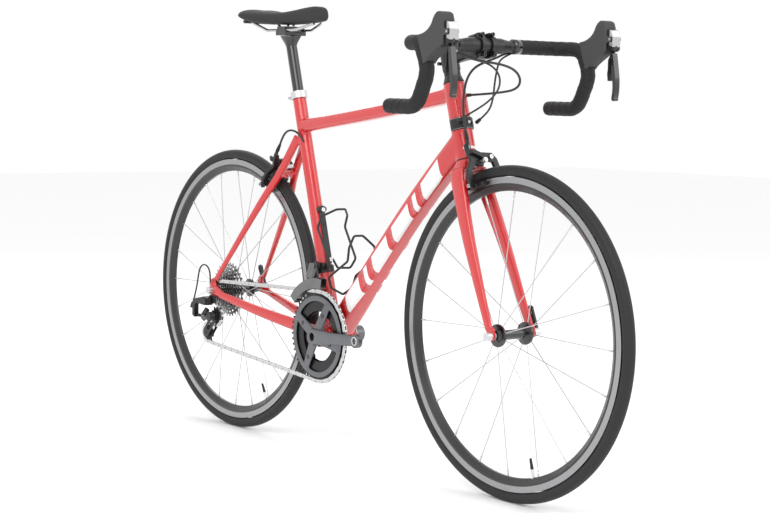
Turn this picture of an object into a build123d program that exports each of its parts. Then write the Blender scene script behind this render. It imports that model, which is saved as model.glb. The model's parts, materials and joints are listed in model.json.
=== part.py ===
from build123d import *
import os
from math import asin, atan2, ceil, cos, degrees, hypot, pi, radians, sin, sqrt, tan

os.makedirs("parts", exist_ok=True)

# ------------------------------------------------------------------ driving dimensions (mm)
# The origin is on the ground, midway between the wheel axles.
# +X is forward, +Y is the rider's left, so the chain runs on the -Y side.

# wheels and tyres
wheelbase = 998.0
tyre_outer_radius = 336.0
tyre_width = 25.0
tyre_casing = 1.8
rim_outer_radius = 311.0
rim_depth = 26.0
rim_width = 20.4
rim_nose_width = 9.0
front_spoke_count = 20
rear_spoke_count = 24
spoke_radius = 1.0
axle_radius = 5.0
skewer_radius = 2.5
front_dropout_spacing = 100.0
rear_dropout_spacing = 130.0
front_flange_radius = 23.0
front_flange_offset = 36.0
rear_left_flange_offset = 38.0
rear_right_flange_offset = 17.0
rear_flange_radius = 24.0

# frame geometry
head_angle = 73.5
seat_angle = 74.0
fork_rake = 45.0
bottom_bracket_drop = 68.0
chainstay_length = 412.0
seat_tube_length = 551.0
head_tube_low = 369.0
head_tube_length = 162.0
head_tube_radius = 22.0
steerer_radius = 14.3
headset_radius = 20.9
shell_half_width = 43.2
shell_radius = 25.0
shell_bore = 20.5
tube_wall = 1.8
dropout_thickness = 6.0

# saddle and post
post_radius = 12.7
post_insertion = 120.0
post_top = 688.0
saddle_length = 270.0
saddle_width = 138.0
saddle_nose_x = -147.0
saddle_top_z = 1005.0
rail_radius = 3.5
rail_spacing = 44.0
rail_z = 952.0

# cockpit
bar_centre_s = 588.0
stem_length = 110.0
stem_drop_angle = 6.0
bar_clamp_radius = 15.9
bar_radius = 12.0
tape_thickness = 3.0
bar_width = 424.0
bar_reach = 79.0
bar_drop = 124.0

# drivetrain
chain_pitch = 12.7
chain_roller_radius = 3.85
chainring_thickness = 1.5
chainring_teeth = (50, 34)
sprocket_teeth = (11, 12, 13, 14, 16, 18, 20, 22, 25, 28, 32)
pulley_teeth = 11
sprocket_spacing = 3.8
sprocket_thickness = 1.4
crank_length = 172.5
crank_angle = 3.5
pedal_face_y = 76.0
pedal_hole_radius = 7.15
spindle_radius = 12.0
large_ring_y = -46.0
small_ring_y = -40.0
sprocket_inset = 4.4
bolt_circle_radius = 55.0
cage_centres = 56.0

# cables
brake_housing_radius = 2.5
gear_housing_radius = 2.0

# clearances
running_gap = 0.05
free_gap = 0.3

# ------------------------------------------------------------------ points worked out from them

axle_z = tyre_outer_radius
rear_x = -wheelbase / 2
front_x = wheelbase / 2
shell_x = rear_x + sqrt(chainstay_length ** 2 - bottom_bracket_drop ** 2)
shell_z = axle_z - bottom_bracket_drop
tyre_centre_radius = tyre_outer_radius - tyre_width / 2
rim_inner_radius = rim_outer_radius - rim_depth
ring_x = shell_x
ring_z = shell_z
rear_face = rear_dropout_spacing / 2
front_face = front_dropout_spacing / 2
small_sprocket_y = -rear_face + sprocket_inset

steer_up = Vector(-cos(radians(head_angle)), 0, sin(radians(head_angle)))
steer_forward = Vector(sin(radians(head_angle)), 0, cos(radians(head_angle)))
steer_foot = Vector(front_x, 0, axle_z) - steer_forward * fork_rake
seat_up = Vector(-cos(radians(seat_angle)), 0, sin(radians(seat_angle)))
seat_forward = Vector(sin(radians(seat_angle)), 0, cos(radians(seat_angle)))
shell_centre = Vector(shell_x, 0, shell_z)


def steer(up, forward=0.0, y=0.0):
    """A point by its distance up the steering axis, in front of it and to the left."""
    return steer_foot + steer_up * up + steer_forward * forward + Vector(0, y, 0)


def seat(up, forward=0.0, y=0.0):
    """A point by its distance up the seat tube axis, in front of it and to the left."""
    return shell_centre + seat_up * up + seat_forward * forward + Vector(0, y, 0)


def between(start, end, part, rise=0.0, y=0.0):
    """A point part of the way from start to end, raised and moved to the left."""
    place = start + (end - start) * part
    return Vector(place.X, y, place.Z + rise)


def side_plane(x, z, y=0.0):
    """A plane seen from the chain side: local x forward, local y up, normal towards -Y."""
    return Plane(origin=(x, y, z), x_dir=(1, 0, 0), z_dir=(0, -1, 0))


def wheel_plane(x):
    """A plane through a wheel axle: local x is the radius, local y is the width."""
    return Plane(origin=(x, 0, axle_z), x_dir=(1, 0, 0), z_dir=(0, 0, 1))


def wheel_axis(x):
    return Axis((x, 0, axle_z), (0, 1, 0))


def write(builder, label):
    """Name a finished piece and write its file."""
    builder.part.label = label
    export_step(builder.part, f"parts/{label}.step")


def outline(points):
    """A closed straight-sided profile in the open sketch."""
    with BuildLine() as edge:
        Polyline(*points, close=True)
    make_face(edge.edges())


def rod(start, end, radius, mode=Mode.ADD):
    """A round bar from start to end."""
    with BuildSketch(Plane(origin=start, z_dir=end - start)) as section:
        Circle(radius)
    extrude(section.sketch, amount=(end - start).length, mode=mode)


def beam(stations, shrink=0.0, mode=Mode.ADD):
    """A tube through sections: each station is a centre, a width across Y, a depth and a corner."""
    centres = [station[0] for station in stations]
    sections = []
    for index, (centre, width, depth, corner) in enumerate(stations):
        before = centres[max(index - 1, 0)]
        after = centres[min(index + 1, len(centres) - 1)]
        along = Vector(after.X - before.X, 0, after.Z - before.Z)
        with BuildSketch(Plane(origin=centre, x_dir=(0, 1, 0), z_dir=along)) as section:
            RectangleRounded(width - shrink, depth - shrink, corner - shrink / 2)
        sections.append(section.sketch)
    loft(sections, ruled=True, mode=mode)


def left(point):
    return Vector(point.X, -point.Y, point.Z)


def pitch_radius(teeth):
    return chain_pitch / (2 * sin(pi / teeth))


# ------------------------------------------------------------------ frame tubes

head_tube_high = head_tube_low + head_tube_length
bearing_height = 7.0
steerer_bore = 17.0
with BuildPart() as head_tube:
    rod(steer(head_tube_low), steer(head_tube_high), head_tube_radius)
    rod(steer(head_tube_low), steer(head_tube_high), steerer_bore, mode=Mode.SUBTRACT)
    rod(steer(head_tube_low), steer(head_tube_low + bearing_height), headset_radius + running_gap,
        mode=Mode.SUBTRACT)
    rod(steer(head_tube_high - bearing_height), steer(head_tube_high), headset_radius + running_gap,
        mode=Mode.SUBTRACT)
write(head_tube, "head_tube")

seat_tube_radius_low = 18.0
seat_tube_radius_high = 15.6
shell_axis_start = Vector(shell_x, -shell_half_width, shell_z)
shell_axis_end = Vector(shell_x, shell_half_width, shell_z)
with BuildPart() as seat_tube:
    with BuildSketch(Plane(origin=seat(10), z_dir=seat_up)):
        Circle(seat_tube_radius_low)
    with BuildSketch(Plane(origin=seat(seat_tube_length * 0.6), z_dir=seat_up)):
        Circle(seat_tube_radius_high)
    loft()
    rod(seat(seat_tube_length * 0.6), seat(seat_tube_length), seat_tube_radius_high)
    rod(shell_axis_start, shell_axis_end, shell_radius)
    rod(seat(shell_radius + 5), seat(seat_tube_length), post_radius + running_gap, mode=Mode.SUBTRACT)
    rod(shell_axis_start, shell_axis_end, shell_bore, mode=Mode.SUBTRACT)
write(seat_tube, "seat_tube")

top_tube_front = steer(head_tube_high - 24)
top_tube_rear = seat(484)
top_tube_stations = [
    (top_tube_front, 40, 34, 12),
    (between(top_tube_front, top_tube_rear, 0.45, -4), 36, 29, 11),
    (top_tube_rear, 30, 30, 11),
]
head_solid_radius = head_tube_radius + running_gap
with BuildPart() as top_tube:
    beam(top_tube_stations)
    beam(top_tube_stations, shrink=2 * tube_wall, mode=Mode.SUBTRACT)
    rod(steer(head_tube_low), steer(head_tube_high), head_solid_radius, mode=Mode.SUBTRACT)
    rod(seat(0), seat(seat_tube_length), seat_tube_radius_low, mode=Mode.SUBTRACT)
write(top_tube, "top_tube")

fork_sweep_radius = 48.0
down_tube_front = steer(head_tube_low + 36)
down_tube_rear = shell_centre + Vector(20, 0, 18)
down_tube_stations = [
    (down_tube_front, 44, 52, 15),
    (between(down_tube_front, down_tube_rear, 0.39, 14), 50, 46, 15),
    (down_tube_rear, 60, 44, 15),
]
with BuildPart() as down_tube:
    beam(down_tube_stations)
    beam(down_tube_stations, shrink=2 * tube_wall, mode=Mode.SUBTRACT)
    rod(steer(head_tube_low), steer(head_tube_high), head_solid_radius, mode=Mode.SUBTRACT)
    rod(seat(0), seat(seat_tube_length * 0.6), seat_tube_radius_low + running_gap, mode=Mode.SUBTRACT)
    rod(shell_axis_start, shell_axis_end, shell_radius + running_gap, mode=Mode.SUBTRACT)
    rod(steer(head_tube_low - 60), steer(head_tube_low + 0.8), fork_sweep_radius, mode=Mode.SUBTRACT)
write(down_tube, "down_tube")

dropout_centre_y = rear_face + dropout_thickness / 2
rear_axle_point = Vector(rear_x, 0, axle_z)

chainstay_front = shell_centre + Vector(-18, 26, 2)
chainstay_rear = rear_axle_point + Vector(29, dropout_centre_y + 1, -8)
chainstay_path = [
    (chainstay_front, 16, 34, 6),
    (between(chainstay_front, chainstay_rear, 0.25, -3.4, 31), 15, 30, 6),
    (between(chainstay_front, chainstay_rear, 0.61, -3.4, 51), 14, 24, 6),
    (chainstay_rear, 6.5, 18, 3),
]
bridge_distance = 352.0
bridge_out = (seat(462, -12) - rear_axle_point).normalized()
bridge_back = Vector(-bridge_out.Z, 0, bridge_out.X)
bridge_centre = rear_axle_point + bridge_out * bridge_distance
brake_bolt_radius = 3.0
seatstay_bend = bridge_centre + Vector(4, 22, 0)
seatstay_low = rear_axle_point + Vector(15, dropout_centre_y + 1.2, 26)
seatstay_path = [
    (seat(462, -12, 11), 13, 24, 5),
    (seatstay_bend, 14, 20, 5),
    (between(seatstay_bend, seatstay_low, 0.28, -3.6, 41), 13, 18, 5),
    (seatstay_low, 6.5, 14, 3),
]
housing_stop = rear_axle_point + Vector(1, -rear_face - 11, 18)
with BuildPart() as rear_stays:
    beam(chainstay_path)
    with BuildSketch(side_plane(rear_x, axle_z, rear_face + dropout_thickness)):
        outline([(40, -17), (40, 2), (16, 12), (8, 32), (-8, 26), (-12, 2), (-8, -12), (10, -14)])
    extrude(amount=dropout_thickness)
    rod(Vector(shell_x, 0, shell_z), Vector(shell_x, 90, shell_z), shell_radius + running_gap,
        mode=Mode.SUBTRACT)
    rod(seat(0), seat(200), seat_tube_radius_low + running_gap, mode=Mode.SUBTRACT)
    beam(seatstay_path)
    rod(Vector(rear_x, rear_face - 1, axle_z), Vector(rear_x, rear_face + 8, axle_z),
    axle_radius + running_gap,
        mode=Mode.SUBTRACT)
    rod(seat(200), seat(seat_tube_length), seat_tube_radius_high + running_gap, mode=Mode.SUBTRACT)
    mirror(about=Plane.XZ)
    with BuildSketch(Plane(origin=bridge_centre - bridge_back * 8, x_dir=(0, 1, 0), z_dir=bridge_back)):
        RectangleRounded(44, 16, 4)
    extrude(amount=16)
    rod(bridge_centre - bridge_back * 20, bridge_centre + bridge_back * 20, brake_bolt_radius + running_gap,
        mode=Mode.SUBTRACT)
    rod(housing_stop - Vector(0, 0, 6), housing_stop, 3.4)
    rod(housing_stop + Vector(0, 5.5, -3), housing_stop - Vector(0, 0, 3), 2.6)
write(rear_stays, "rear_stays")

# ------------------------------------------------------------------ small frame fittings

cover_low = 431.0
cover_high = 453.0
bottle_bolts_seat = (283.0, 168.0)
down_axis_low = down_tube_stations[2][0]
down_along = (down_tube_stations[1][0] - down_axis_low).normalized()
down_up = Vector(-down_along.Z, 0, down_along.X)


def down(along, up=0.0, y=0.0):
    """A point by its distance up the lower down tube, off its axis and to the left."""
    return down_axis_low + down_along * along + down_up * up + Vector(0, y, 0)


bottle_bolts_down = (210.0, 96.0)
down_surface = 23.5
spine_thickness = 4.0
spine_length = 132.0
collar_height = 14.0
cup_thickness = 1.2
with BuildPart() as frame_hardware:
    rod(seat(seat_tube_length - 2), seat(seat_tube_length + collar_height), 19.0)
    with BuildSketch(Plane(origin=seat(seat_tube_length + 1, -21), x_dir=(0, 1, 0), z_dir=seat_up)):
        RectangleRounded(16, 14, 3)
    extrude(amount=10)
    rod(seat(seat_tube_length - 3), seat(seat_tube_length), seat_tube_radius_high + running_gap,
        mode=Mode.SUBTRACT)
    rod(seat(seat_tube_length - 3), seat(seat_tube_length + 30), post_radius + running_gap,
        mode=Mode.SUBTRACT)
    rod(seat(seat_tube_length + 6, -23, -12), seat(seat_tube_length + 6, -23, 12), 3.2)
    for hand in (-1, 1):
        inner = Vector(shell_x, hand * (shell_half_width - 12), shell_z)
        lip = Vector(shell_x, hand * shell_half_width, shell_z)
        outer = Vector(shell_x, hand * (shell_half_width + cup_thickness), shell_z)
        rod(inner, lip, shell_bore - running_gap)
        rod(lip, outer, shell_radius - 1)
    rod(Vector(shell_x, -shell_half_width + 12, shell_z), Vector(shell_x, shell_half_width - 12, shell_z),
        spindle_radius + 4)
    rod(Vector(shell_x, -60, shell_z), Vector(shell_x, 60, shell_z), spindle_radius + running_gap,
        mode=Mode.SUBTRACT)
    with BuildSketch(Plane(origin=steer(cover_low), z_dir=steer_up, x_dir=(0, 1, 0))):
        Circle(head_tube_radius + 3.2)
        Circle(head_tube_radius + running_gap, mode=Mode.SUBTRACT)
        with Locations((0, head_tube_radius)):
            Rectangle(80, 2 * head_tube_radius - 4, mode=Mode.SUBTRACT)
    extrude(amount=cover_high - cover_low)
    for up in bottle_bolts_seat:
        rod(seat(up, seat_tube_radius_low + spine_thickness + 0.6), seat(up, seat_tube_radius_low + 8), 4.2)
    for along in bottle_bolts_down:
        rod(down(along, down_surface + spine_thickness + 0.6), down(along, down_surface + 8), 4.2)
write(frame_hardware, "frame_hardware")

# ------------------------------------------------------------------ fork, headset, stem and bar

crown_low = 347.0
crown_high = head_tube_low - 0.6
leg_top = 338.0
tip_y = front_face + dropout_thickness / 2
leg_stations = [
    (steer(crown_high - 18, 0, 24), 22, 42, 9),
    (steer(leg_top - 12, 1, 31), 18, 40, 8),
    (steer(200, 17, 45), 15, 31, 6),
    (steer(14, 42, tip_y + 1), 9, 20, 4),
]
with BuildPart() as fork:
    with BuildSketch(Plane(origin=steer(crown_low), x_dir=(0, 1, 0), z_dir=steer_up)):
        RectangleRounded(66, 42, 14)
    with BuildSketch(Plane(origin=steer(crown_high), x_dir=(0, 1, 0), z_dir=steer_up)):
        RectangleRounded(46, 44, 20)
    loft()
    beam(leg_stations)
    with BuildSketch(side_plane(front_x, axle_z, front_face + dropout_thickness)):
        outline([(-14, 22), (8, 16), (10, 0), (7, -9), (-7, -9), (-12, 2)])
    extrude(amount=dropout_thickness)
    rod(Vector(front_x, front_face - 1, axle_z), Vector(front_x, front_face + 9, axle_z),
    axle_radius + running_gap,
        mode=Mode.SUBTRACT)
    beam([(left(station[0]), station[1], station[2], station[3]) for station in leg_stations])
    with BuildSketch(side_plane(front_x, axle_z, -front_face)):
        outline([(-14, 22), (8, 16), (10, 0), (7, -9), (-7, -9), (-12, 2)])
    extrude(amount=dropout_thickness)
    rod(Vector(front_x, -front_face + 1, axle_z), Vector(front_x, -front_face - 9, axle_z),
        axle_radius + running_gap, mode=Mode.SUBTRACT)
    rod(steer(crown_high - 2), steer(bar_centre_s + 16), steerer_radius)
    rod(steer(crown_high + 2), steer(bar_centre_s + 17), steerer_radius - 2.5, mode=Mode.SUBTRACT)
    rod(steer(355, -30), steer(355, 30), brake_bolt_radius + running_gap, mode=Mode.SUBTRACT)
write(fork, "fork")

stem_low = bar_centre_s - 20.0
with BuildPart() as headset:
    for low in (head_tube_low + running_gap, head_tube_high - bearing_height + running_gap):
        rod(steer(low), steer(low + bearing_height - 2 * running_gap), headset_radius)
    with BuildSketch(Plane(origin=steer(head_tube_high + free_gap), z_dir=steer_up)):
        Circle(head_tube_radius)
    with BuildSketch(Plane(origin=steer(head_tube_high + 13), z_dir=steer_up)):
        Circle(17.5)
    loft()
    rod(steer(head_tube_high + 13), steer(stem_low - 12), 17.0)
    rod(
        steer(head_tube_low - 3), steer(bar_centre_s + 40), steerer_radius + running_gap, mode=Mode.SUBTRACT
    )
write(headset, "headset")

stem_angle = radians(90 - head_angle - stem_drop_angle)
bar_centre = steer(bar_centre_s) + Vector(cos(stem_angle), 0, sin(stem_angle)) * stem_length
stem_along = (bar_centre - steer(bar_centre_s)).normalized()
stem_up = Vector(-stem_along.Z, 0, stem_along.X)
clamp_length = 21.0
with BuildPart() as stem:
    rod(steer(stem_low - 11.7), steer(bar_centre_s + 20), 18.5)
    with BuildSketch(Plane(origin=steer(bar_centre_s), x_dir=(0, 1, 0), z_dir=stem_along)):
        RectangleRounded(34, 36, 14)
    with BuildSketch(Plane(origin=bar_centre - stem_along * 22, x_dir=(0, 1, 0), z_dir=stem_along)):
        RectangleRounded(38, 38, 12)
    loft()
    with BuildSketch(Plane(origin=bar_centre - stem_along * 24, x_dir=(0, 1, 0), z_dir=stem_along)):
        RectangleRounded(2 * clamp_length, 50, 5)
    extrude(amount=22)
    rod(bar_centre - Vector(0, 40, 0), bar_centre + Vector(0, 40, 0), bar_clamp_radius + running_gap,
        mode=Mode.SUBTRACT)
    rod(
        steer(bar_centre_s - 50), steer(bar_centre_s + 21), steerer_radius + running_gap, mode=Mode.SUBTRACT
    )
write(stem, "stem")

faceplate_wall = 4.5
with BuildPart() as stem_faceplate:
    for hand in (-1, 1):
        with BuildSketch(Plane(origin=bar_centre + Vector(0, hand * 13.5 + 6, 0), x_dir=tuple(stem_along),
                               z_dir=(0, -1, 0))):
            Circle(bar_clamp_radius + faceplate_wall)
            Rectangle(18, 49)
            with Locations((-30, 0)):
                Rectangle(60, 80, mode=Mode.SUBTRACT)
            Circle(bar_clamp_radius + running_gap, mode=Mode.SUBTRACT)
            with Locations((50, 0)):
                Rectangle(54, 80, mode=Mode.SUBTRACT)
        extrude(amount=12)
    for hand in (-1, 1):
        for height in (-20.5, 20.5):
            head = bar_centre + stem_up * height + stem_along * 9 + Vector(0, hand * 13.5, 0)
            rod(head, head + stem_along * 5, 4.2)
    rod(steer(bar_centre_s + 20), steer(bar_centre_s + 24), 17.0)
    for height in (-10, 10):
        rod(steer(bar_centre_s + height, -21, -15), steer(bar_centre_s + height, -21, 15), 3.6)
    add(stem.part, mode=Mode.SUBTRACT)
write(stem_faceplate, "stem_faceplate")

drop_x = bar_centre.X + bar_reach
half_bar = bar_width / 2
bar_taper_start = 41.0
bar_taper_end = 62.0
bar_path_points = [
    Vector(bar_centre.X, bar_taper_end, bar_centre.Z),
    Vector(bar_centre.X, half_bar - 18, bar_centre.Z),
    Vector(bar_centre.X + 62, half_bar, bar_centre.Z - 2),
    Vector(drop_x + 6, half_bar, bar_centre.Z - 55),
    Vector(bar_centre.X + 52, half_bar, bar_centre.Z - bar_drop),
    Vector(bar_centre.X - 32, half_bar, bar_centre.Z - bar_drop + 1),
]
bar_bends = [34, 36, 46, 40]
with BuildPart() as handlebar:
    rod(bar_centre - Vector(0, bar_taper_start, 0), bar_centre + Vector(0, bar_taper_start, 0),
        bar_clamp_radius)
    with BuildLine():
        FilletPolyline(*bar_path_points, radius=bar_bends)
    with BuildSketch(Plane(origin=bar_path_points[0], z_dir=bar_path_points[1] - bar_path_points[0])):
        Circle(bar_radius)
    sweep()
    with BuildSketch(Plane(origin=(bar_centre.X, bar_taper_start, bar_centre.Z), z_dir=(0, 1, 0))):
        Circle(bar_clamp_radius)
    with BuildSketch(Plane(origin=(bar_centre.X, bar_taper_end, bar_centre.Z), z_dir=(0, 1, 0))):
        Circle(bar_radius)
    loft()
    with BuildSketch(Plane(origin=bar_path_points[-1], z_dir=bar_path_points[-1] - bar_path_points[-2])):
        Circle(bar_radius - 2)
    extrude(amount=-80, mode=Mode.SUBTRACT)
    mirror(about=Plane.XZ)
write(handlebar, "handlebar")

tape_path_points = [Vector(bar_centre.X, 75, bar_centre.Z)] + bar_path_points[1:]
plug_length = 6.0
bar_end = bar_path_points[-1]
bar_end_out = (bar_path_points[-1] - bar_path_points[-2]).normalized()
with BuildPart() as bar_tape:
    with BuildLine():
        FilletPolyline(*tape_path_points, radius=bar_bends)
    with BuildSketch(Plane(origin=tape_path_points[0], z_dir=tape_path_points[1] - tape_path_points[0])):
        Circle(bar_radius + tape_thickness)
    sweep()
    rod(bar_end - bar_end_out * 0.1, bar_end + bar_end_out * plug_length, bar_radius + 1.5)
    mirror(about=Plane.XZ)
    add(handlebar.part, mode=Mode.SUBTRACT)
write(bar_tape, "bar_tape")

# ------------------------------------------------------------------ brake and shift levers

hood_width = 30.0
lever_y = half_bar
pocket_width = 23.0
lug_thickness = 2.8
lever_pin = (73, 17)
lever_pin_radius = 3.0
blade_eye_radius = 4.1
blade_pin_z = 0.0


def lever_plane(hand, offset=0.0):
    """The side plane through a hood: local x is forward of the bar's bend, local y is up from the bar."""
    return side_plane(drop_x, bar_centre.Z, hand * lever_y + offset)


def lever_point(x, z, hand, offset=0.0):
    return Vector(drop_x + x, hand * lever_y + offset, bar_centre.Z + z)


def hood_outline():
    """The side outline of a lever hood, in the open sketch."""
    with BuildLine() as edge:
        Spline((-14, 13), (10, 18), (28, 32), (38, 49), (48, 55), (60, 51), tangents=((1, 0), (1, -0.6)))
        Line((60, 51), (65, 37))
        Line((65, 37), (65, -7))
        Spline((65, -7), (44, -18), (24, -30), (8, -47), tangents=((-1, -0.3), (-0.4, -1)))
        Line((8, -47), (-14, 13))
    make_face(edge.edges())


with BuildPart() as hoods:
    with BuildSketch(lever_plane(1, hood_width / 2)):
        hood_outline()
    extrude(amount=hood_width)
    fillet(hoods.edges().filter_by(Axis.Y), 3)
    with BuildSketch(lever_plane(1, pocket_width / 2)):
        outline([(54, -40), (70, -40), (70, 20), (62, 20), (54, 6)])
    extrude(amount=pocket_width, mode=Mode.SUBTRACT)
    for inner in (pocket_width / 2, -pocket_width / 2 - lug_thickness):
        with BuildSketch(lever_plane(1, inner + lug_thickness)):
            with Locations((66, lever_pin[1])):
                SlotCenterToCenter(14, 13)
            with Locations(lever_pin):
                Circle(lever_pin_radius + running_gap, mode=Mode.SUBTRACT)
        extrude(amount=lug_thickness)
    mirror(about=Plane.XZ)
    add(handlebar.part, mode=Mode.SUBTRACT)
    add(bar_tape.part, mode=Mode.SUBTRACT)
write(hoods, "hoods")


def lever_head(hand):
    """The pivot block and cap that close the front of a hood, slotted for the blade."""
    pin_reach = pocket_width / 2 + lug_thickness - 0.2
    eye = lever_point(60, blade_pin_z, hand)
    with BuildPart() as block:
        with BuildSketch(lever_plane(hand, 11)):
            outline([(66, 38), (76, 35), (81, 23), (80, -4), (74, -8), (66, -5)])
        extrude(amount=22)
        fillet(block.edges().filter_by(Axis.Y), 1.5)
        rod(lever_point(*lever_pin, hand, -pin_reach), lever_point(*lever_pin, hand, pin_reach),
            lever_pin_radius)
        rod(eye, eye + Vector(30, 0, 0), blade_eye_radius + running_gap, mode=Mode.SUBTRACT)
        with BuildSketch(Plane(origin=eye, x_dir=(0, 1, 0), z_dir=(1, 0, 0))):
            outline([(-2.6, -1), (2.6, -1), (6.2, -12), (-6.2, -12)])
        extrude(amount=30, mode=Mode.SUBTRACT)
    return block


def brake_blade(hand):
    """A curved lever blade with the eye that hangs it in the pivot block."""
    with BuildPart() as blade:
        with BuildSketch(lever_plane(hand, 7)):
            with BuildLine() as edge:
                Spline((77, -10.5), (82, -38), (86, -69), (83, -101), tangents=((0.2, -1), (-0.25, -1)))
                Line((83, -101), (76, -103))
                Spline((76, -103), (78, -69), (73, -41), (71, -10.5), tangents=((0.2, 1), (-0.1, 1)))
                Line((71, -10.5), (77, -10.5))
            make_face(edge.edges())
        extrude(amount=14)
        fillet(blade.edges().filter_by(Axis.Y), 1)
        rod(lever_point(80, -102, hand, -6), lever_point(80, -102, hand, 6), 4.5)
        rod(lever_point(70.6, blade_pin_z, hand), lever_point(79.6, blade_pin_z, hand), blade_eye_radius)
        with BuildSketch(lever_plane(hand, 2)):
            outline([(71, 0), (77, 0), (77, -12), (71, -12)])
        extrude(amount=4)
    return blade


def shift_paddle(hand):
    """A leaf-shaped paddle behind the blade, with its own eye on the same pin line."""
    with BuildPart() as paddle:
        with BuildSketch(lever_plane(hand, 9)):
            outline([(66.2, 1), (69.8, 1), (69.8, -13), (70, -42), (66, -66), (62.5, -66), (66.4, -42),
                (66.2, -13)])
        extrude(amount=18)
        with BuildSketch(Plane(origin=lever_point(50, 0, hand), x_dir=(0, 1, 0), z_dir=(1, 0, 0))):
            outline([(-2, 2), (2, 2), (2, -12), (9, -24), (9, -52), (5, -66), (-5, -66), (-9, -52),
            (-9, -24),
                     (-2, -12)])
        extrude(amount=30, mode=Mode.INTERSECT)
        rod(lever_point(66.2, blade_pin_z, hand), lever_point(70.2, blade_pin_z, hand), blade_eye_radius)
    return paddle


for hand, side in ((1, "left"), (-1, "right")):
    write(lever_head(hand), f"lever_head_{side}")
    write(brake_blade(hand), f"brake_lever_{side}")
    write(shift_paddle(hand), f"shift_paddle_{side}")

# ------------------------------------------------------------------ saddle and seatpost

head_centre = seat(post_top) + Vector(0, 0, rail_z - seat(post_top).Z)
cradle_length = 40.0
with BuildPart() as seatpost:
    rod(seat(seat_tube_length - post_insertion), seat(post_top), post_radius)
    rod(seat(seat_tube_length - post_insertion - 1), seat(post_top - 12), post_radius - 1.8,
        mode=Mode.SUBTRACT)
    with BuildSketch(Plane.XY.offset(rail_z - 12)):
        with Locations((head_centre.X, 0)):
            RectangleRounded(cradle_length + 12, 30, 6)
    with BuildSketch(Plane(origin=seat(post_top - 14), z_dir=seat_up)):
        Circle(post_radius)
    loft()
    with BuildSketch(Plane.XY.offset(rail_z - 12)):
        with Locations((head_centre.X, 0)):
            Rectangle(cradle_length, rail_spacing + 14)
    extrude(amount=11.5)
    with BuildSketch(Plane.XY.offset(rail_z + 0.5)):
        with Locations((head_centre.X, 0)):
            Rectangle(cradle_length - 8, rail_spacing + 12)
    extrude(amount=8)
    for fore in (-1, 1):
        bolt = Vector(head_centre.X + fore * 11, 0, rail_z - 6)
        rod(bolt, bolt + Vector(0, 0, 20), 2.8)
    for hand in (-1, 1):
        groove = Vector(head_centre.X - 40, hand * rail_spacing / 2, rail_z)
        rod(groove, groove + Vector(80, 0, 0), rail_radius + running_gap, mode=Mode.SUBTRACT)
write(seatpost, "seatpost")

saddle_rear_x = saddle_nose_x - saddle_length
cushion_low = 966.0


def saddle_ring(x, half_width, top, low):
    """One cross-section of the padded saddle, drawn across the bike."""
    with BuildSketch(Plane(origin=(x, 0, 0), x_dir=(0, 1, 0), z_dir=(1, 0, 0))) as section:
        with BuildLine() as edge:
            Spline((-half_width, low + 6), (-half_width * 0.72, top - 5), (0, top), (half_width * 0.72,
            top - 5),
                   (half_width, low + 6))
            Polyline((half_width, low + 6), (half_width * 0.7, low), (-half_width * 0.7, low),
                     (-half_width, low + 6))
        make_face(edge.edges())
    return section.sketch


saddle_sections = [
    (saddle_nose_x, 12, 992, 972),
    (saddle_nose_x - 34, 19, saddle_top_z, 968),
    (saddle_nose_x - 110, 24, 996, cushion_low),
    (saddle_nose_x - 165, 38, 991, cushion_low),
    (saddle_nose_x - 215, saddle_width / 2 - 5, 997, cushion_low + 2),
    (saddle_nose_x - 250, saddle_width / 2, 1001, cushion_low + 6),
    (saddle_rear_x, saddle_width / 2 - 22, 999, cushion_low + 14),
]
with BuildPart() as saddle_cover:
    loft([saddle_ring(*section) for section in saddle_sections], ruled=True)
write(saddle_cover, "saddle_cover")

with BuildPart() as saddle_rails:
    rail_points = [
        Vector(saddle_rear_x + 28, rail_spacing / 2 + 14, cushion_low + 6),
        Vector(head_centre.X - 62, rail_spacing / 2, rail_z),
        Vector(head_centre.X + 52, rail_spacing / 2, rail_z),
        Vector(saddle_nose_x - 30, 10, cushion_low - 1),
    ]
    with BuildLine():
        FilletPolyline(*rail_points, radius=[26, 26])
    with BuildSketch(Plane(origin=rail_points[0], z_dir=rail_points[1] - rail_points[0])):
        Circle(rail_radius)
    sweep()
    mirror(about=Plane.XZ)
    add(saddle_cover.part, mode=Mode.SUBTRACT)
write(saddle_rails, "saddle_rails")

# ------------------------------------------------------------------ wheels

def make_tyre(x, label):
    """A tyre casing with the inner tube and its valve inside."""
    with BuildPart() as tyre:
        with BuildSketch(wheel_plane(x)):
            with Locations((tyre_centre_radius, 0)):
                Circle(tyre_width / 2)
                Circle(tyre_width / 2 - tyre_casing, mode=Mode.SUBTRACT)
            with Locations((rim_outer_radius - 8, 0)):
                Rectangle(20.6, 40, mode=Mode.SUBTRACT)
            with Locations((tyre_centre_radius, 0)):
                Circle(tyre_width / 2 - tyre_casing - free_gap)
        revolve(axis=wheel_axis(x))
    write(tyre, label)


def make_rim(x, label):
    """A clincher rim with a machined brake track and a rounded nose."""
    half = rim_width / 2
    nose = rim_nose_width / 2
    with BuildPart() as rim:
        with BuildSketch(wheel_plane(x)):
            outline([
                (rim_inner_radius, -nose + 1.5), (rim_inner_radius + 2, -nose), (rim_outer_radius - 15,
                -half),
                (rim_outer_radius + 2, -half), (rim_outer_radius + 2, -half + 1.6),
                (rim_outer_radius - 5, -half + 2),
                (rim_outer_radius - 7, 0), (rim_outer_radius - 5, half - 2), (rim_outer_radius + 2,
                half - 1.6),
                (rim_outer_radius + 2, half), (rim_outer_radius - 15, half), (rim_inner_radius + 2, nose),
                (rim_inner_radius, nose - 1.5),
            ])
        revolve(axis=wheel_axis(x))
    write(rim, label)


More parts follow.
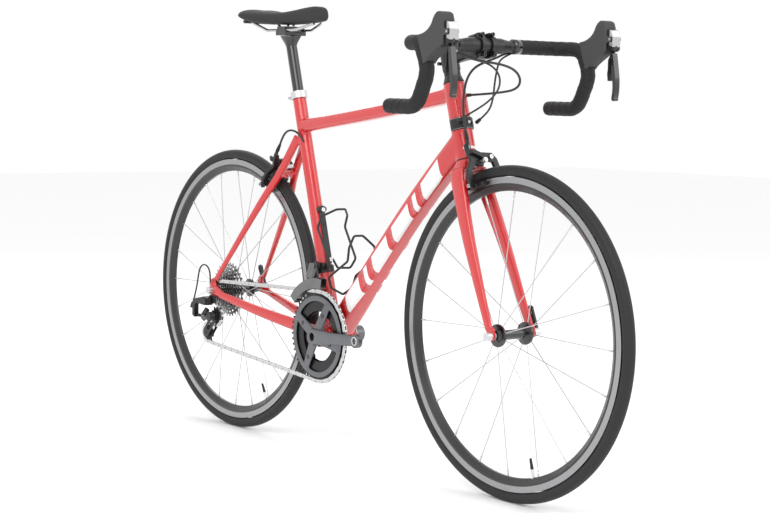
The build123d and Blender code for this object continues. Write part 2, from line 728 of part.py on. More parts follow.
def make_hub(x, profile, label):
    """A hub shell turned about its axle, with its end caps."""
    with BuildPart() as hub:
        with BuildSketch(wheel_plane(x)):
            outline([(axle_radius + running_gap, profile[0][1])] + profile
                    + [(axle_radius + running_gap, profile[-1][1])])
        revolve(axis=wheel_axis(x))
    write(hub, label)


lacing_gap = 1.5


def make_spokes(x, sides, label):
    """Straight spokes with their nipples: each side is a flange, its offset, a count, a lead and a turn."""
    rim_seat = rim_inner_radius - 0.4
    with BuildPart() as spokes:
        for flange_radius, offset, count, lead, turn in sides:
            for index in range(count):
                angle = 2 * pi * (index + turn) / count
                hand = 1 if index % 2 else -1
                start_angle = angle + radians(hand * lead)
                foot = offset + (hand * lacing_gap if lead else 0)
                start = Vector(
                    x + flange_radius * cos(start_angle), foot, axle_z + flange_radius * sin(start_angle)
                )
                end = Vector(x + rim_seat * cos(angle), 0, axle_z + rim_seat * sin(angle))
                rod(start, end, spoke_radius)
                rod(end - (end - start).normalized() * 12, end, 1.9)
    write(spokes, label)


hub_face = front_face - 5.5
make_tyre(front_x, "front_tyre")
make_rim(front_x, "front_rim")
make_hub(front_x, [
    (11, -hub_face), (13, -hub_face + 4), (14, -front_flange_offset - 2), (front_flange_radius,
    -front_flange_offset - 2),
    (front_flange_radius, -front_flange_offset + 2), (10.5, -front_flange_offset + 8), (10, 0),
    (10.5, front_flange_offset - 8), (front_flange_radius, front_flange_offset - 2),
    (front_flange_radius, front_flange_offset + 2), (14, front_flange_offset + 2), (13, hub_face - 4),
    (11, hub_face),
], "front_hub")
spoke_seat = 0.4
crossed_seat = 1.3
make_spokes(front_x, [
    (front_flange_radius + spoke_seat, front_flange_offset, front_spoke_count // 2, 0, 0),
    (front_flange_radius + spoke_seat, -front_flange_offset, front_spoke_count // 2, 0, 0.5),
], "front_spokes")
make_tyre(rear_x, "rear_tyre")
make_rim(rear_x, "rear_rim")
largest_sprocket_y = small_sprocket_y + (len(sprocket_teeth) - 1) * sprocket_spacing
freehub_inner = largest_sprocket_y + sprocket_thickness
freehub_outer = -rear_face + 2.6
hub_left = rear_face - 6
make_hub(rear_x, [
    (13, freehub_inner), (16, freehub_inner + 1), (rear_flange_radius, -rear_right_flange_offset - 2),
    (rear_flange_radius, -rear_right_flange_offset + 2), (12, -rear_right_flange_offset + 8), (11, 8),
    (12, rear_left_flange_offset - 8), (rear_flange_radius - 2, rear_left_flange_offset - 2),
    (rear_flange_radius - 2, rear_left_flange_offset + 2), (14, rear_left_flange_offset + 2), (12,
    hub_left),
], "rear_hub")
make_spokes(rear_x, [
    (rear_flange_radius - 2 + spoke_seat, rear_left_flange_offset, rear_spoke_count // 2, 0, 0),
    (rear_flange_radius + crossed_seat, -rear_right_flange_offset, rear_spoke_count // 2, 62, 0.5),
], "rear_spokes")


cam_depth = 10.2
cam_pin_radius = 1.5
barrel_radius = 5.5
lever_root_width = 12.0
quick_lever_lean = Vector(-0.42, 0, 0.907).normalized()
quick_lever_side = quick_lever_lean.cross(Vector(0, 1, 0))


def make_axle(x, face, label):
    """A hollow axle with its locknuts, the skewer through it, its nut and its slotted cam housing."""
    tip = face + dropout_thickness + 0.1
    cam = Vector(x, tip + cam_depth, axle_z)
    with BuildPart() as axle:
        rod(Vector(x, -face - 5, axle_z), Vector(x, face + 5, axle_z), axle_radius)
        for hand in (-1, 1):
            rod(Vector(x, hand * (face - 0.1), axle_z), Vector(x, hand * (face - 2.4), axle_z), 9)
        rod(Vector(x, -face - 6, axle_z), Vector(x, face + 6, axle_z), skewer_radius + 0.2,
            mode=Mode.SUBTRACT)
        rod(Vector(x, -tip - 13, axle_z), Vector(x, tip + 2, axle_z), skewer_radius)
        rod(Vector(x, -tip, axle_z), Vector(x, -tip - 12, axle_z), 8.5)
        rod(Vector(x, tip, axle_z), Vector(x, tip + 15, axle_z), 10)
        with BuildSketch(
            Plane(origin=(x, tip + 3.5, axle_z), x_dir=tuple(quick_lever_lean), z_dir=(0, 1, 0))
        ):
            Rectangle(40, lever_root_width + 2 * free_gap)
        extrude(amount=20, mode=Mode.SUBTRACT)
        rod(cam - quick_lever_side * 8.5, cam + quick_lever_side * 8.5, cam_pin_radius)
    write(axle, label)


def make_quick_lever(x, face, label):
    """A curved quick-release lever on the left, pinned in its cam housing."""
    cam = Vector(x, face + dropout_thickness + 0.1 + cam_depth, axle_z)
    half_root = lever_root_width / 2
    with BuildPart() as lever:
        with BuildSketch(
            Plane(origin=cam + Vector(0, 4.5, 0), x_dir=tuple(quick_lever_lean), z_dir=(0, -1, 0))
        ):
            with BuildLine() as edge:
                Polyline((52, -8), (57, -3), (57, 3), (52, 8))
                Spline((52, 8), (30, 6.8), (12, half_root), tangents=((-1, -0.2), (-1, 0)))
                Polyline((12, half_root), (0, half_root), (0, -half_root), (12, -half_root))
                Spline((12, -half_root), (30, -6.8), (52, -8), tangents=((1, 0), (1, -0.2)))
            make_face(edge.edges())
            with Locations((44, 0)):
                SlotOverall(14, 5, mode=Mode.SUBTRACT)
        extrude(amount=5.5)
        rod(cam - quick_lever_side * half_root, cam + quick_lever_side * half_root, barrel_radius)
        rod(cam - quick_lever_side * 9, cam + quick_lever_side * 9, cam_pin_radius + running_gap,
            mode=Mode.SUBTRACT)
    write(lever, label)


make_axle(front_x, front_face, "front_axle")
make_axle(rear_x, rear_face, "rear_axle")
make_quick_lever(front_x, front_face, "front_quick_lever")
make_quick_lever(rear_x, rear_face, "rear_quick_lever")

# ------------------------------------------------------------------ brake calipers

shoe_gap = 2.0
shoe_drop = 49.0
shoe_face = rim_width / 2 + shoe_gap
arm_thickness = 8.0
arm_layer = 12.0
barrel_forward = 8.0
holder_back = 23.5


def caliper(origin, up, out, labels):
    """A dual-pivot caliper: two arms on a mount. The plane is seen with -Y (the cable side) as local -x."""

    def at(u, v, w=0.0):
        return origin + Vector(0, u, 0) + up * v + out * w

    def layer(w):
        return Plane(origin=origin + out * w, x_dir=(0, 1, 0), z_dir=out)

    # up points along local y only when the plane is right-handed
    flip = 1 if layer(0).y_dir.dot(up) > 0 else -1

    def drawn(points):
        outline([(u, flip * v) for u, v in points])

    side_pivot = (19.0, 7.0)
    near = arm_layer
    far = arm_layer + arm_thickness + 0.6
    with BuildPart() as mount:
        rod(at(0, 0, -24), at(0, 0, far + arm_thickness + 2), 2.9)
        rod(at(0, 0, 0.2), at(0, 0, near - 0.4), 7.5)
        rod(at(0, 0, far + arm_thickness + 0.4), at(0, 0, far + arm_thickness + 5), 5.5)
        with BuildSketch(layer(0.4)):
            drawn([(-7, -6), (side_pivot[0] + 6, side_pivot[1] - 6), (side_pivot[0] + 6,
                side_pivot[1] + 6), (-7, 7)])
        extrude(amount=near - 0.8)
        rod(at(*side_pivot, 1), at(*side_pivot, far + arm_thickness + 1), 2.5)
    write(mount, labels[0])

    with BuildPart() as cable_arm:
        with BuildSketch(layer(near)):
            drawn([(-6, -9), (6, -9), (8, 0), (6, 8), (-8, 12), (-19, 24), (-22, 36), (-34, 36), (-32, 20),
                   (-26, 4), (-38, -14), (-40, -36), (-36, -56), (-26, -56), (-28, -36), (-26, -18),
                       (-15, -6)])
            Circle(2.9 + running_gap, mode=Mode.SUBTRACT)
        extrude(amount=arm_thickness)
        rod(at(-28, 34, near + 4), at(-28, 36, near + barrel_forward), 5.0)
        rod(at(-28, 34, near + barrel_forward), at(-28, 46, near + barrel_forward), 4.0)
        rod(at(-28, 30, near + barrel_forward), at(-28, 47, near + barrel_forward), 1.2, mode=Mode.SUBTRACT)
        with BuildSketch(
            Plane(origin=at(-holder_back, -shoe_drop, near + 4), x_dir=tuple(out), z_dir=(0, 1, 0))
        ):
            RectangleRounded(52, 9, 3)
        extrude(amount=holder_back - shoe_face)
        rod(at(-41, -shoe_drop, near + 4), at(-holder_back, -shoe_drop, near + 4), 4.2)
    write(cable_arm, labels[1])

    with BuildPart() as pivot_arm:
        with BuildSketch(layer(far)):
            drawn([(side_pivot[0] - 7, 0), (-20, 14), (-33, 14), (-33, 22), (-18, 23), (-4, 17), (24,
            16), (36, 4),
                   (42, -16), (41, -38), (36, -56), (26, -56), (29, -38), (29, -20), (24, -4)])
            with Locations((side_pivot[0], flip * side_pivot[1])):
                Circle(2.5 + running_gap, mode=Mode.SUBTRACT)
        extrude(amount=arm_thickness)
        rod(at(-28, 18, far + arm_thickness), at(-28, 18, far + arm_thickness + 5), 4)
        with BuildSketch(
            Plane(origin=at(holder_back, -shoe_drop, near + 4), x_dir=tuple(out), z_dir=(0, -1, 0))
        ):
            RectangleRounded(52, 9, 3)
        extrude(amount=holder_back - shoe_face)
        rod(at(holder_back, -shoe_drop, near + 4), at(41, -shoe_drop, near + 4), 4.2)
    write(pivot_arm, labels[2])
    return at(-28, 46, near + barrel_forward)


front_brake_origin = steer(355, 22.4)
front_barrel = caliper(front_brake_origin, steer_up, steer_forward,
                       ("front_brake_mount", "front_brake_cable_arm", "front_brake_pivot_arm"))
rear_brake_origin = bridge_centre + bridge_back * 8.4
rear_barrel = caliper(rear_brake_origin, bridge_out, bridge_back,
                      ("rear_brake_mount", "rear_brake_cable_arm", "rear_brake_pivot_arm"))

# ------------------------------------------------------------------ rear derailleur places

hanger_bolt = Vector(rear_x - 10, -rear_face - 5, axle_z - 28)
cage_pivot = Vector(rear_x + 7.5, small_sprocket_y, axle_z - 63)
knuckle_pin = Vector(rear_x - 11, -rear_face - 17, axle_z - 54)
link_axis = Vector(0, 0.629, 0.777)
link_span = Vector(29.6, -18.5, 15.0)
base_pin = knuckle_pin - link_span

# ------------------------------------------------------------------ chain route and sprockets

ring_radius = pitch_radius(chainring_teeth[0])


def chain_route(cage_angle):
    """The wheels the chain runs over, in order: centre, teeth and turn (+1 with the crank)."""
    tension = cage_pivot + Vector(cos(cage_angle), 0, sin(cage_angle)) * cage_centres
    return [
        (Vector(ring_x, large_ring_y, ring_z), chainring_teeth[0], 1),
        (Vector(rear_x, small_sprocket_y, axle_z), sprocket_teeth[0], 1),
        (cage_pivot, pulley_teeth, -1),
        (tension, pulley_teeth, 1),
    ]


def chain_runs(route):
    """Straight run directions and lengths between the wheels of a closed route."""
    runs = []
    for index, (centre, teeth, turn) in enumerate(route):
        goal, goal_teeth, goal_turn = route[(index + 1) % len(route)]
        gap_x, gap_z = goal.X - centre.X, goal.Z - centre.Z
        distance = hypot(gap_x, gap_z)
        offset = turn * pitch_radius(teeth) - goal_turn * pitch_radius(goal_teeth)
        heading = atan2(gap_z, gap_x) + asin(offset / distance)
        runs.append((heading, sqrt(distance ** 2 - offset ** 2)))
    return runs


def wrap_angle(arriving, leaving, turn):
    return (turn * (leaving - arriving)) % (2 * pi)


def chain_links(cage_angle):
    """How many links the closed route takes."""
    route = chain_route(cage_angle)
    runs = chain_runs(route)
    links = sum(length for heading, length in runs) / chain_pitch
    for index, (centre, teeth, turn) in enumerate(route):
        links += wrap_angle(runs[index - 1][0], runs[index][0], turn) * teeth / (2 * pi)
    return links


loose_angle = radians(231.0)
link_count = 2 * ceil(chain_links(loose_angle) / 2)
low_angle, high_angle = loose_angle - radians(40), loose_angle + radians(40)
rising = chain_links(high_angle) > chain_links(low_angle)
for _ in range(60):
    cage_angle = (low_angle + high_angle) / 2
    if (chain_links(cage_angle) < link_count) == rising:
        low_angle = cage_angle
    else:
        high_angle = cage_angle
chain_wheels = chain_route(cage_angle)
tension_centre = chain_wheels[3][0]
print("chain links", link_count, "cage angle", round(degrees(cage_angle), 2))


level_run = 4 * chain_pitch


def chain_pins():
    """Every pin of the chain in order, with the phase of the teeth on each wheel."""
    runs = chain_runs(chain_wheels)
    pins = []
    phases = []
    travelled = 0.0
    for index, (centre, teeth, turn) in enumerate(chain_wheels):
        arriving = runs[index - 1][0]
        heading, length = runs[index]
        wrap = wrap_angle(arriving, heading, turn)
        step = 2 * pi / teeth
        start_angle = arriving - turn * pi / 2
        first = ceil(travelled - 1e-9)
        phases.append(start_angle + turn * (first - travelled) * step)
        end = travelled + wrap / step
        number = first
        while number < end - 1e-9:
            angle = start_angle + turn * (number - travelled) * step
            pins.append(centre + Vector(cos(angle), 0, sin(angle)) * pitch_radius(teeth))
            number += 1
        leave_angle = heading - turn * pi / 2
        leave = centre + Vector(cos(leave_angle), 0, sin(leave_angle)) * pitch_radius(teeth)
        goal = chain_wheels[(index + 1) % len(chain_wheels)][0]
        travelled = end
        run_end = travelled + length / chain_pitch
        while number < run_end - 1e-9:
            part = (number - travelled) * chain_pitch
            shift = (goal.Y - centre.Y) * min(max((part - level_run) / (length - 2 * level_run), 0), 1)
            pins.append(leave + Vector(cos(heading) * part, shift, sin(heading) * part))
            number += 1
        travelled = run_end
    return pins, phases


pin_places, tooth_phases = chain_pins()


def toothed_wheel(teeth, phase, roller_gap=0.15, tip=3.0):
    """The outline of a toothed wheel with a roller pocket at every pin, about the open sketch's origin."""
    radius = pitch_radius(teeth)
    pocket = chain_roller_radius + roller_gap
    flank = radians(75)
    with BuildLine() as edge:
        for index in range(teeth):
            angle = phase + 2 * pi * index / teeth
            half_step = pi / teeth
            along = Vector(cos(angle), sin(angle))
            across = Vector(-sin(angle), cos(angle))
            middle = along * radius
            first = middle - along * pocket * cos(flank) - across * pocket * sin(flank)
            last = middle - along * pocket * cos(flank) + across * pocket * sin(flank)
            ThreePointArc(first, along * (radius - pocket), last)
            tip_radius = radius + tip
            tip_start = Vector(
                cos(angle + half_step - 0.9 / tip_radius), sin(angle + half_step - 0.9 / tip_radius)
            )
            tip_end = Vector(
                cos(angle + half_step + 0.9 / tip_radius), sin(angle + half_step + 0.9 / tip_radius)
            )
            next_angle = angle + 2 * half_step
            next_along = Vector(cos(next_angle), sin(next_angle))
            next_across = Vector(-sin(next_angle), cos(next_angle))
            next_first = next_along * (radius - pocket * cos(flank)) - next_across * pocket * sin(flank)
            Polyline(last, tip_start * tip_radius, tip_end * tip_radius, next_first)
    make_face(edge.edges())


# ------------------------------------------------------------------ chainrings, cranks and bottom bracket

ring_thickness = chainring_thickness
ring_phase = tooth_phases[0]
arm_angles = [radians(crank_angle + turn) for turn in (-16, 58, 148, 238)]
small_outer = pitch_radius(chainring_teeth[1])
with BuildPart() as chainrings:
    with BuildSketch(side_plane(ring_x, ring_z, large_ring_y + ring_thickness / 2)):
        toothed_wheel(chainring_teeth[0], ring_phase)
        Circle(small_outer - 12, mode=Mode.SUBTRACT)
    extrude(amount=ring_thickness)
    with BuildSketch(side_plane(ring_x, ring_z, large_ring_y - ring_thickness / 2)):
        Circle(ring_radius - 8)
        Circle(ring_radius - 17, mode=Mode.SUBTRACT)
    extrude(amount=2.2)
    with BuildSketch(side_plane(ring_x, ring_z, small_ring_y + ring_thickness / 2)):
        toothed_wheel(chainring_teeth[1], 0.0)
        Circle(small_outer - 14, mode=Mode.SUBTRACT)
        with Locations(*[(bolt_circle_radius * cos(a), bolt_circle_radius * sin(a)) for a in arm_angles]):
            Circle(7)
    extrude(amount=ring_thickness)
    with BuildSketch(side_plane(ring_x, ring_z, small_ring_y + 2)):
        with Locations(*[(bolt_circle_radius * cos(a), bolt_circle_radius * sin(a)) for a in arm_angles]):
            Circle(4)
    extrude(amount=8)
write(chainrings, "chainrings")

crank_direction = Vector(cos(radians(crank_angle)), 0, sin(radians(crank_angle)))


def crank_section(distance, y, width, depth, corner, direction):
    """One section of a crank arm at a distance from the spindle."""
    centre = shell_centre + direction * distance + Vector(0, y, 0)
    with BuildSketch(Plane(origin=centre, x_dir=(0, 1, 0), z_dir=direction)) as section:
        RectangleRounded(width, depth, corner)
    return section.sketch


arm_thick = 13.0
arm_outer_y = -pedal_face_y
spider_y = -49.0
with BuildPart() as crank_arm_right:
    rod(Vector(shell_x, -45.2, shell_z), Vector(shell_x, -66, shell_z), 19)
    loft([
        crank_section(8, -59, 14, 36, 6, crank_direction),
        crank_section(70, -64, 13, 27, 6, crank_direction),
        crank_section(crank_length, arm_outer_y + arm_thick / 2, arm_thick, 24, 5.5, crank_direction),
    ], ruled=True)
    eye = shell_centre + crank_direction * crank_length
    rod(eye + Vector(0, arm_outer_y, 0), eye + Vector(0, arm_outer_y + arm_thick, 0), 15)
    for spider_angle in arm_angles:
        toward = Vector(cos(spider_angle), 0, sin(spider_angle))
        loft([
            crank_section(14, spider_y - 5, 8, 26, 3, toward),
            crank_section(bolt_circle_radius + 32, spider_y - 1.8, 3.4, 20, 1.6, toward),
        ], ruled=True)
    with BuildSketch(side_plane(ring_x, ring_z, spider_y + 0.4)):
        Circle(ring_radius - 9)
        Circle(ring_radius - 22, mode=Mode.SUBTRACT)
    extrude(amount=3.2)
    add(chainrings.part, mode=Mode.SUBTRACT)
    rod(eye + Vector(0, arm_outer_y - 1, 0), eye + Vector(0, arm_outer_y + arm_thick + 1, 0),
    pedal_hole_radius,
        mode=Mode.SUBTRACT)
    rod(Vector(shell_x, -66, shell_z), Vector(shell_x, 72, shell_z), spindle_radius)
    rod(Vector(shell_x, -67, shell_z), Vector(shell_x, 73, shell_z), spindle_radius - 3, mode=Mode.SUBTRACT)
write(crank_arm_right, "crank_arm_right")

back_direction = crank_direction * -1
with BuildPart() as crank_arm_left:
    rod(Vector(shell_x, 46, shell_z), Vector(shell_x, 71, shell_z), 19)
    loft([
        crank_section(10, 61, 15, 34, 6, back_direction),
        crank_section(70, 65, 13, 26, 6, back_direction),
        crank_section(crank_length, pedal_face_y - arm_thick / 2, arm_thick, 24, 5.5, back_direction),
    ], ruled=True)
    left_eye = shell_centre + back_direction * crank_length
    rod(left_eye + Vector(0, pedal_face_y, 0), left_eye + Vector(0, pedal_face_y - arm_thick, 0), 15)
    rod(left_eye + Vector(0, pedal_face_y + 1, 0), left_eye + Vector(0, pedal_face_y - arm_thick - 1, 0),
        pedal_hole_radius, mode=Mode.SUBTRACT)
    rod(Vector(shell_x, 45, shell_z), Vector(shell_x, 72.5, shell_z), spindle_radius + running_gap,
        mode=Mode.SUBTRACT)
    rod(Vector(shell_x, 72.6, shell_z), Vector(shell_x, 75, shell_z), 11)
    rod(Vector(shell_x, 71.0, shell_z), Vector(shell_x, 72.7, shell_z), 16)
    rod(Vector(shell_x, 45, shell_z), Vector(shell_x, 72.3, shell_z), spindle_radius + running_gap,
        mode=Mode.SUBTRACT)
write(crank_arm_left, "crank_arm_left")

# ------------------------------------------------------------------ cassette and freehub

hub_gap = 0.4
with BuildPart() as cassette:
    for index, teeth in enumerate(sprocket_teeth):
        place_y = small_sprocket_y + index * sprocket_spacing
        phase = tooth_phases[1] if index == 0 else 0.0
        with BuildSketch(side_plane(rear_x, axle_z, place_y + sprocket_thickness / 2)):
            toothed_wheel(teeth, phase, tip=2.4)
            if index > 5:
                Circle(pitch_radius(teeth) - 9, mode=Mode.SUBTRACT)
                with PolarLocations(0, 6):
                    Rectangle(pitch_radius(teeth) - 6, 9, align=(Align.MIN, Align.CENTER))
                Circle(20)
        extrude(amount=sprocket_thickness)
    with BuildSketch(side_plane(rear_x, axle_z, freehub_inner - hub_gap)):
        Circle(17.2)
    extrude(amount=abs(small_sprocket_y - freehub_inner) - hub_gap)
    rod(Vector(rear_x, freehub_inner - hub_gap, axle_z), Vector(rear_x, freehub_outer, axle_z), 14)
    rod(Vector(rear_x, freehub_inner + 1, axle_z), Vector(rear_x, -rear_face - 1, axle_z),
        axle_radius + running_gap, mode=Mode.SUBTRACT)
write(cassette, "cassette")

# ------------------------------------------------------------------ chain

plate_height = 8.4
inner_plate = (1.15, 1.75)
outer_plate = (1.95, 2.75)

with BuildPart(mode=Mode.PRIVATE) as inner_link:
    for hand in (-1, 1):
        with BuildSketch(Plane.XY.offset(hand * inner_plate[0])):
            SlotCenterToCenter(chain_pitch, plate_height)
        extrude(amount=hand * (inner_plate[1] - inner_plate[0]))
    with BuildSketch(Plane.XY.offset(-inner_plate[1])):
        with Locations((-chain_pitch / 2, 0), (chain_pitch / 2, 0)):
            Circle(chain_roller_radius)
    extrude(amount=2 * inner_plate[1])

with BuildPart(mode=Mode.PRIVATE) as outer_link:
    for hand in (-1, 1):
        with BuildSketch(Plane.XY.offset(hand * outer_plate[0])):
            SlotCenterToCenter(chain_pitch, plate_height)
        extrude(amount=hand * (outer_plate[1] - outer_plate[0]))
        with BuildSketch(Plane.XY.offset(hand * outer_plate[0])):
            with Locations((-chain_pitch / 2, 0), (chain_pitch / 2, 0)):
                Circle(1.8)
        extrude(amount=hand * (outer_plate[1] - outer_plate[0] + 0.3))


def link_location(start, end):
    """The place of a link between two pins, with its plates upright."""
    along = (end - start).normalized()
    outward = Vector(0, -1, 0)
    normal = (outward - along * outward.dot(along)).normalized()
    return Plane(origin=(start + end) * 0.5, x_dir=tuple(along), z_dir=tuple(normal)).location


link_places = [link_location(pin_places[i], pin_places[(i + 1) % link_count]) for i in range(link_count)]
with BuildPart() as chain:
    with Locations(*link_places[0::2]):
        add(inner_link.part)
    with Locations(*link_places[1::2]):
        add(outer_link.part)
write(chain, "chain")

# ------------------------------------------------------------------ rear derailleur

lug_half = 6.0
lug_radius = 6.0
cheek_gap = 0.3
cheek_thickness = 3.5
pin_radius = 2.0
knuckle_inner_y = -rear_face - 6.5
knuckle_outer_y = -rear_face - 21


def lug(pin, mode=Mode.ADD, radius=lug_radius):
    rod(pin - link_axis * lug_half, pin + link_axis * lug_half, radius, mode=mode)


barrel_top = rear_axle_point + Vector(-72, -rear_face - 14, -36)
barrel_along = Vector(-0.447, 0, -0.894)
with BuildPart() as rear_derailleur_base:
    with BuildSketch(side_plane(rear_x, axle_z, -rear_face - 0.2)):
        outline([(-9, -12.8), (9, -14.8), (2, -32), (-8, -38), (-18, -34), (-19, -22)])
    extrude(amount=dropout_thickness - 0.4)
    rod(hanger_bolt + Vector(0, 1, 0), hanger_bolt + Vector(0, -18, 0), 8.5)
    with BuildSketch(side_plane(rear_x, axle_z, knuckle_inner_y - 2.5)):
        outline([
            (0, -20), (-12, -16), (-50, -24), (-64, -32), (-64, -66),
            (-54, -70), (-54, -40), (-44, -33), (-20, -37), (-2, -37),
        ])
    extrude(amount=12)
    lug(base_pin)
    rod(rear_axle_point + Vector(-59, -rear_face - 13, -65), base_pin, 4)
    lug(base_pin, Mode.SUBTRACT, pin_radius + running_gap)
    rod(barrel_top + barrel_along * 1, barrel_top + barrel_along * 14, 4.0)
    rod(barrel_top + barrel_along * 0.1, barrel_top + barrel_along * 2, 2.6)
    rod(barrel_top + barrel_along * 9, rear_axle_point + Vector(-60, -rear_face - 15, -44), 3.5)
write(rear_derailleur_base, "rear_derailleur_base")

link_length = link_span.length
link_plane = Plane(origin=base_pin, x_dir=tuple(link_span), z_dir=tuple(link_axis))
with BuildPart() as rear_derailleur_link:
    for start in (lug_half + cheek_gap, -lug_half - cheek_gap - cheek_thickness):
        with BuildSketch(link_plane.offset(start)):
            with Locations((link_length / 2, 0)):
                SlotCenterToCenter(link_length, 2 * lug_radius)
        extrude(amount=cheek_thickness)
    with BuildSketch(link_plane.offset(-lug_half - cheek_gap - cheek_thickness)):
        with Locations((link_length / 2, 0)):
            Rectangle(link_length - 2 * lug_radius - 5, 9)
    extrude(amount=2 * (lug_half + cheek_gap + cheek_thickness))
    for pin in (base_pin, knuckle_pin):
        rod(pin - link_axis * 9.8, pin + link_axis * 9.8, pin_radius)
write(rear_derailleur_link, "rear_derailleur_link")

knuckle_centre = Vector(cage_pivot.X, 0, cage_pivot.Z)
with BuildPart() as rear_derailleur_knuckle:
    lug(knuckle_pin)
    rod(knuckle_pin, knuckle_centre + Vector(0, -rear_face - 15, 0), 4)
    rod(knuckle_centre + Vector(0, knuckle_inner_y, 0), knuckle_centre + Vector(0, knuckle_outer_y, 0), 11)
    lug(knuckle_pin, Mode.SUBTRACT, pin_radius + running_gap)
write(rear_derailleur_knuckle, "rear_derailleur_knuckle")

cage_along = (tension_centre - cage_pivot).normalized()
cage_plate_y = 6.5
with BuildPart() as rear_derailleur_cage:
    for place_y in (small_sprocket_y - cage_plate_y, small_sprocket_y + cage_plate_y + 1.6):
        middle = cage_pivot + cage_along * (cage_centres / 2)
        with BuildSketch(
            Plane(origin=(middle.X, place_y, middle.Z), x_dir=tuple(cage_along), z_dir=(0, -1, 0))
        ):
            SlotCenterToCenter(cage_centres, 24)
            SlotCenterToCenter(cage_centres - 30, 10, mode=Mode.SUBTRACT)
        extrude(amount=1.6)
    for centre in (cage_pivot, tension_centre):
        rod(centre + Vector(0, cage_plate_y + 2.4, 0), centre - Vector(0, cage_plate_y + 2.4, 0), 2.5)
    rod(cage_pivot - Vector(0, cage_plate_y + 1.6, 0), cage_pivot + Vector(0,
    knuckle_inner_y + 0.3 - cage_pivot.Y, 0),
        9)
write(rear_derailleur_cage, "rear_derailleur_cage")


def make_pulley(centre, phase, label):
    """A toothed pulley on its bush."""
    with BuildPart() as pulley:
        with BuildSketch(side_plane(centre.X, centre.Z, centre.Y + 0.9)):
            toothed_wheel(pulley_teeth, phase, tip=2.4)
            Circle(2.5 + running_gap, mode=Mode.SUBTRACT)
        extrude(amount=1.8)
        with BuildSketch(side_plane(centre.X, centre.Z, centre.Y + 5.5)):
            Circle(7)
            Circle(2.5 + running_gap, mode=Mode.SUBTRACT)
        extrude(amount=11)
    write(pulley, label)


make_pulley(cage_pivot, tooth_phases[2], "guide_pulley")
make_pulley(tension_centre, tooth_phases[3], "tension_pulley")

# ------------------------------------------------------------------ front derailleur

band_place = 150.0
swing_y = -32.0
swing_z = shell_z + 156
band_x = seat(band_place).X
cage_inner_y, cage_outer_y = -40.0, -54.0
cage_low_radius = ring_radius + 6.4
cage_high_radius = ring_radius + 29.0
with BuildPart() as front_derailleur_base:
    rod(seat(band_place - 8), seat(band_place + 8), seat_tube_radius_low + 2.6)
    with BuildSketch(Plane.XY.offset(swing_z - 6)):
        with Locations((band_x, -20)):
            Rectangle(46, 12)
        for reach in (-19, 15.6):
            with Locations((band_x + reach, swing_y + 2)):
                Rectangle(8, 14)
    extrude(amount=12)
    rod(Vector(band_x - 23, swing_y, swing_z), Vector(band_x + 19.6, swing_y, swing_z), 2.0)
    add(seat_tube.part, mode=Mode.SUBTRACT)
    rod(seat(band_place - 30), seat(band_place + 30), post_radius + 2, mode=Mode.SUBTRACT)
write(front_derailleur_base, "front_derailleur_base")


def cage_sector(start, end, low, high):
    """A ring sector about the crank axis in the open sketch, from start to end degrees."""
    with BuildLine() as edge:
        CenterArc((0, 0), low, start, end - start)
        CenterArc((0, 0), high, start, end - start)
        for turn in (start, end):
            Line((low * cos(radians(turn)), low * sin(radians(turn))),
                 (high * cos(radians(turn)), high * sin(radians(turn))))
    make_face(edge.edges())


with BuildPart() as front_derailleur_cage:
    for place_y in (cage_inner_y + 1.2, cage_outer_y + 1.2):
        with BuildSketch(side_plane(ring_x, ring_z, place_y)):
            cage_sector(82, 141, cage_low_radius, cage_high_radius)
        extrude(amount=1.2)
    with BuildSketch(side_plane(ring_x, ring_z, cage_inner_y + 1)):
        cage_sector(88, 112, cage_high_radius - 2, cage_high_radius + 1)
        cage_sector(137, 141, cage_low_radius, cage_low_radius + 5)
    extrude(amount=cage_inner_y - cage_outer_y)
    link_x = band_x - 1.7
    with BuildSketch(Plane.YZ.offset(link_x - 11)):
        outline([(swing_y - 5, swing_z), (swing_y + 5, swing_z), (cage_inner_y + 2, swing_z - 26),
            (cage_inner_y - 6, swing_z - 28)])
        with Locations((swing_y, swing_z)):
            Circle(5.4)
            Circle(2.0 + running_gap, mode=Mode.SUBTRACT)
    extrude(amount=22)
write(front_derailleur_cage, "front_derailleur_cage")

# ------------------------------------------------------------------ bottle cages

wire_radius = 2.6


def cage_wire(place):
    """The wire that wraps a bottle, from offsets up, out and sideways."""
    points = [
        place(2, 4, -7), place(-20, 8, -14), place(-26, 34, -30), place(-8, 50, -37), place(70, 26, -38),
        place(92, 46, -35), place(101, 72, -12), place(101, 72, 12), place(92, 46, 35), place(70, 26, 38),
        place(-8, 50, 37), place(-26, 34, 30), place(-20, 8, 14), place(2, 4, 7),
    ]
    with BuildLine() as line:
        FilletPolyline(*points, radius=[6, 9, 9, 9, 9, 10, 10, 9, 9, 9, 9, 6])
    with BuildSketch(Plane(origin=points[0], z_dir=points[1] - points[0])) as section:
        Circle(wire_radius)
    sweep(section.sketch, path=line.line)


with BuildPart() as bottle_cages:
    seat_spine_plane = Plane(origin=seat(
        (bottle_bolts_seat[0] + bottle_bolts_seat[1]) / 2, seat_tube_radius_low + 0.5
    ),
                             x_dir=tuple(seat_up), z_dir=tuple(seat_forward))
    down_spine_plane = Plane(origin=down(
        (bottle_bolts_down[0] + bottle_bolts_down[1]) / 2, down_surface + 0.5
    ),
                             x_dir=tuple(down_along), z_dir=tuple(down_up))
    for spine_plane in (seat_spine_plane, down_spine_plane):
        with BuildSketch(spine_plane) as spine:
            SlotOverall(spine_length, 13)
            with Locations((60, 0)):
                Ellipse(8, 13)
        extrude(spine.sketch, amount=spine_thickness)

    def on_seat(up, out, y):
        return seat(bottle_bolts_seat[1] + up, seat_tube_radius_low + 2.5 + out, y)

    def on_down(up, out, y):
        return down(bottle_bolts_down[1] + up, down_surface + 2.5 + out, y)

    cage_wire(on_seat)
    cage_wire(on_down)
    add(frame_hardware.part, mode=Mode.SUBTRACT)
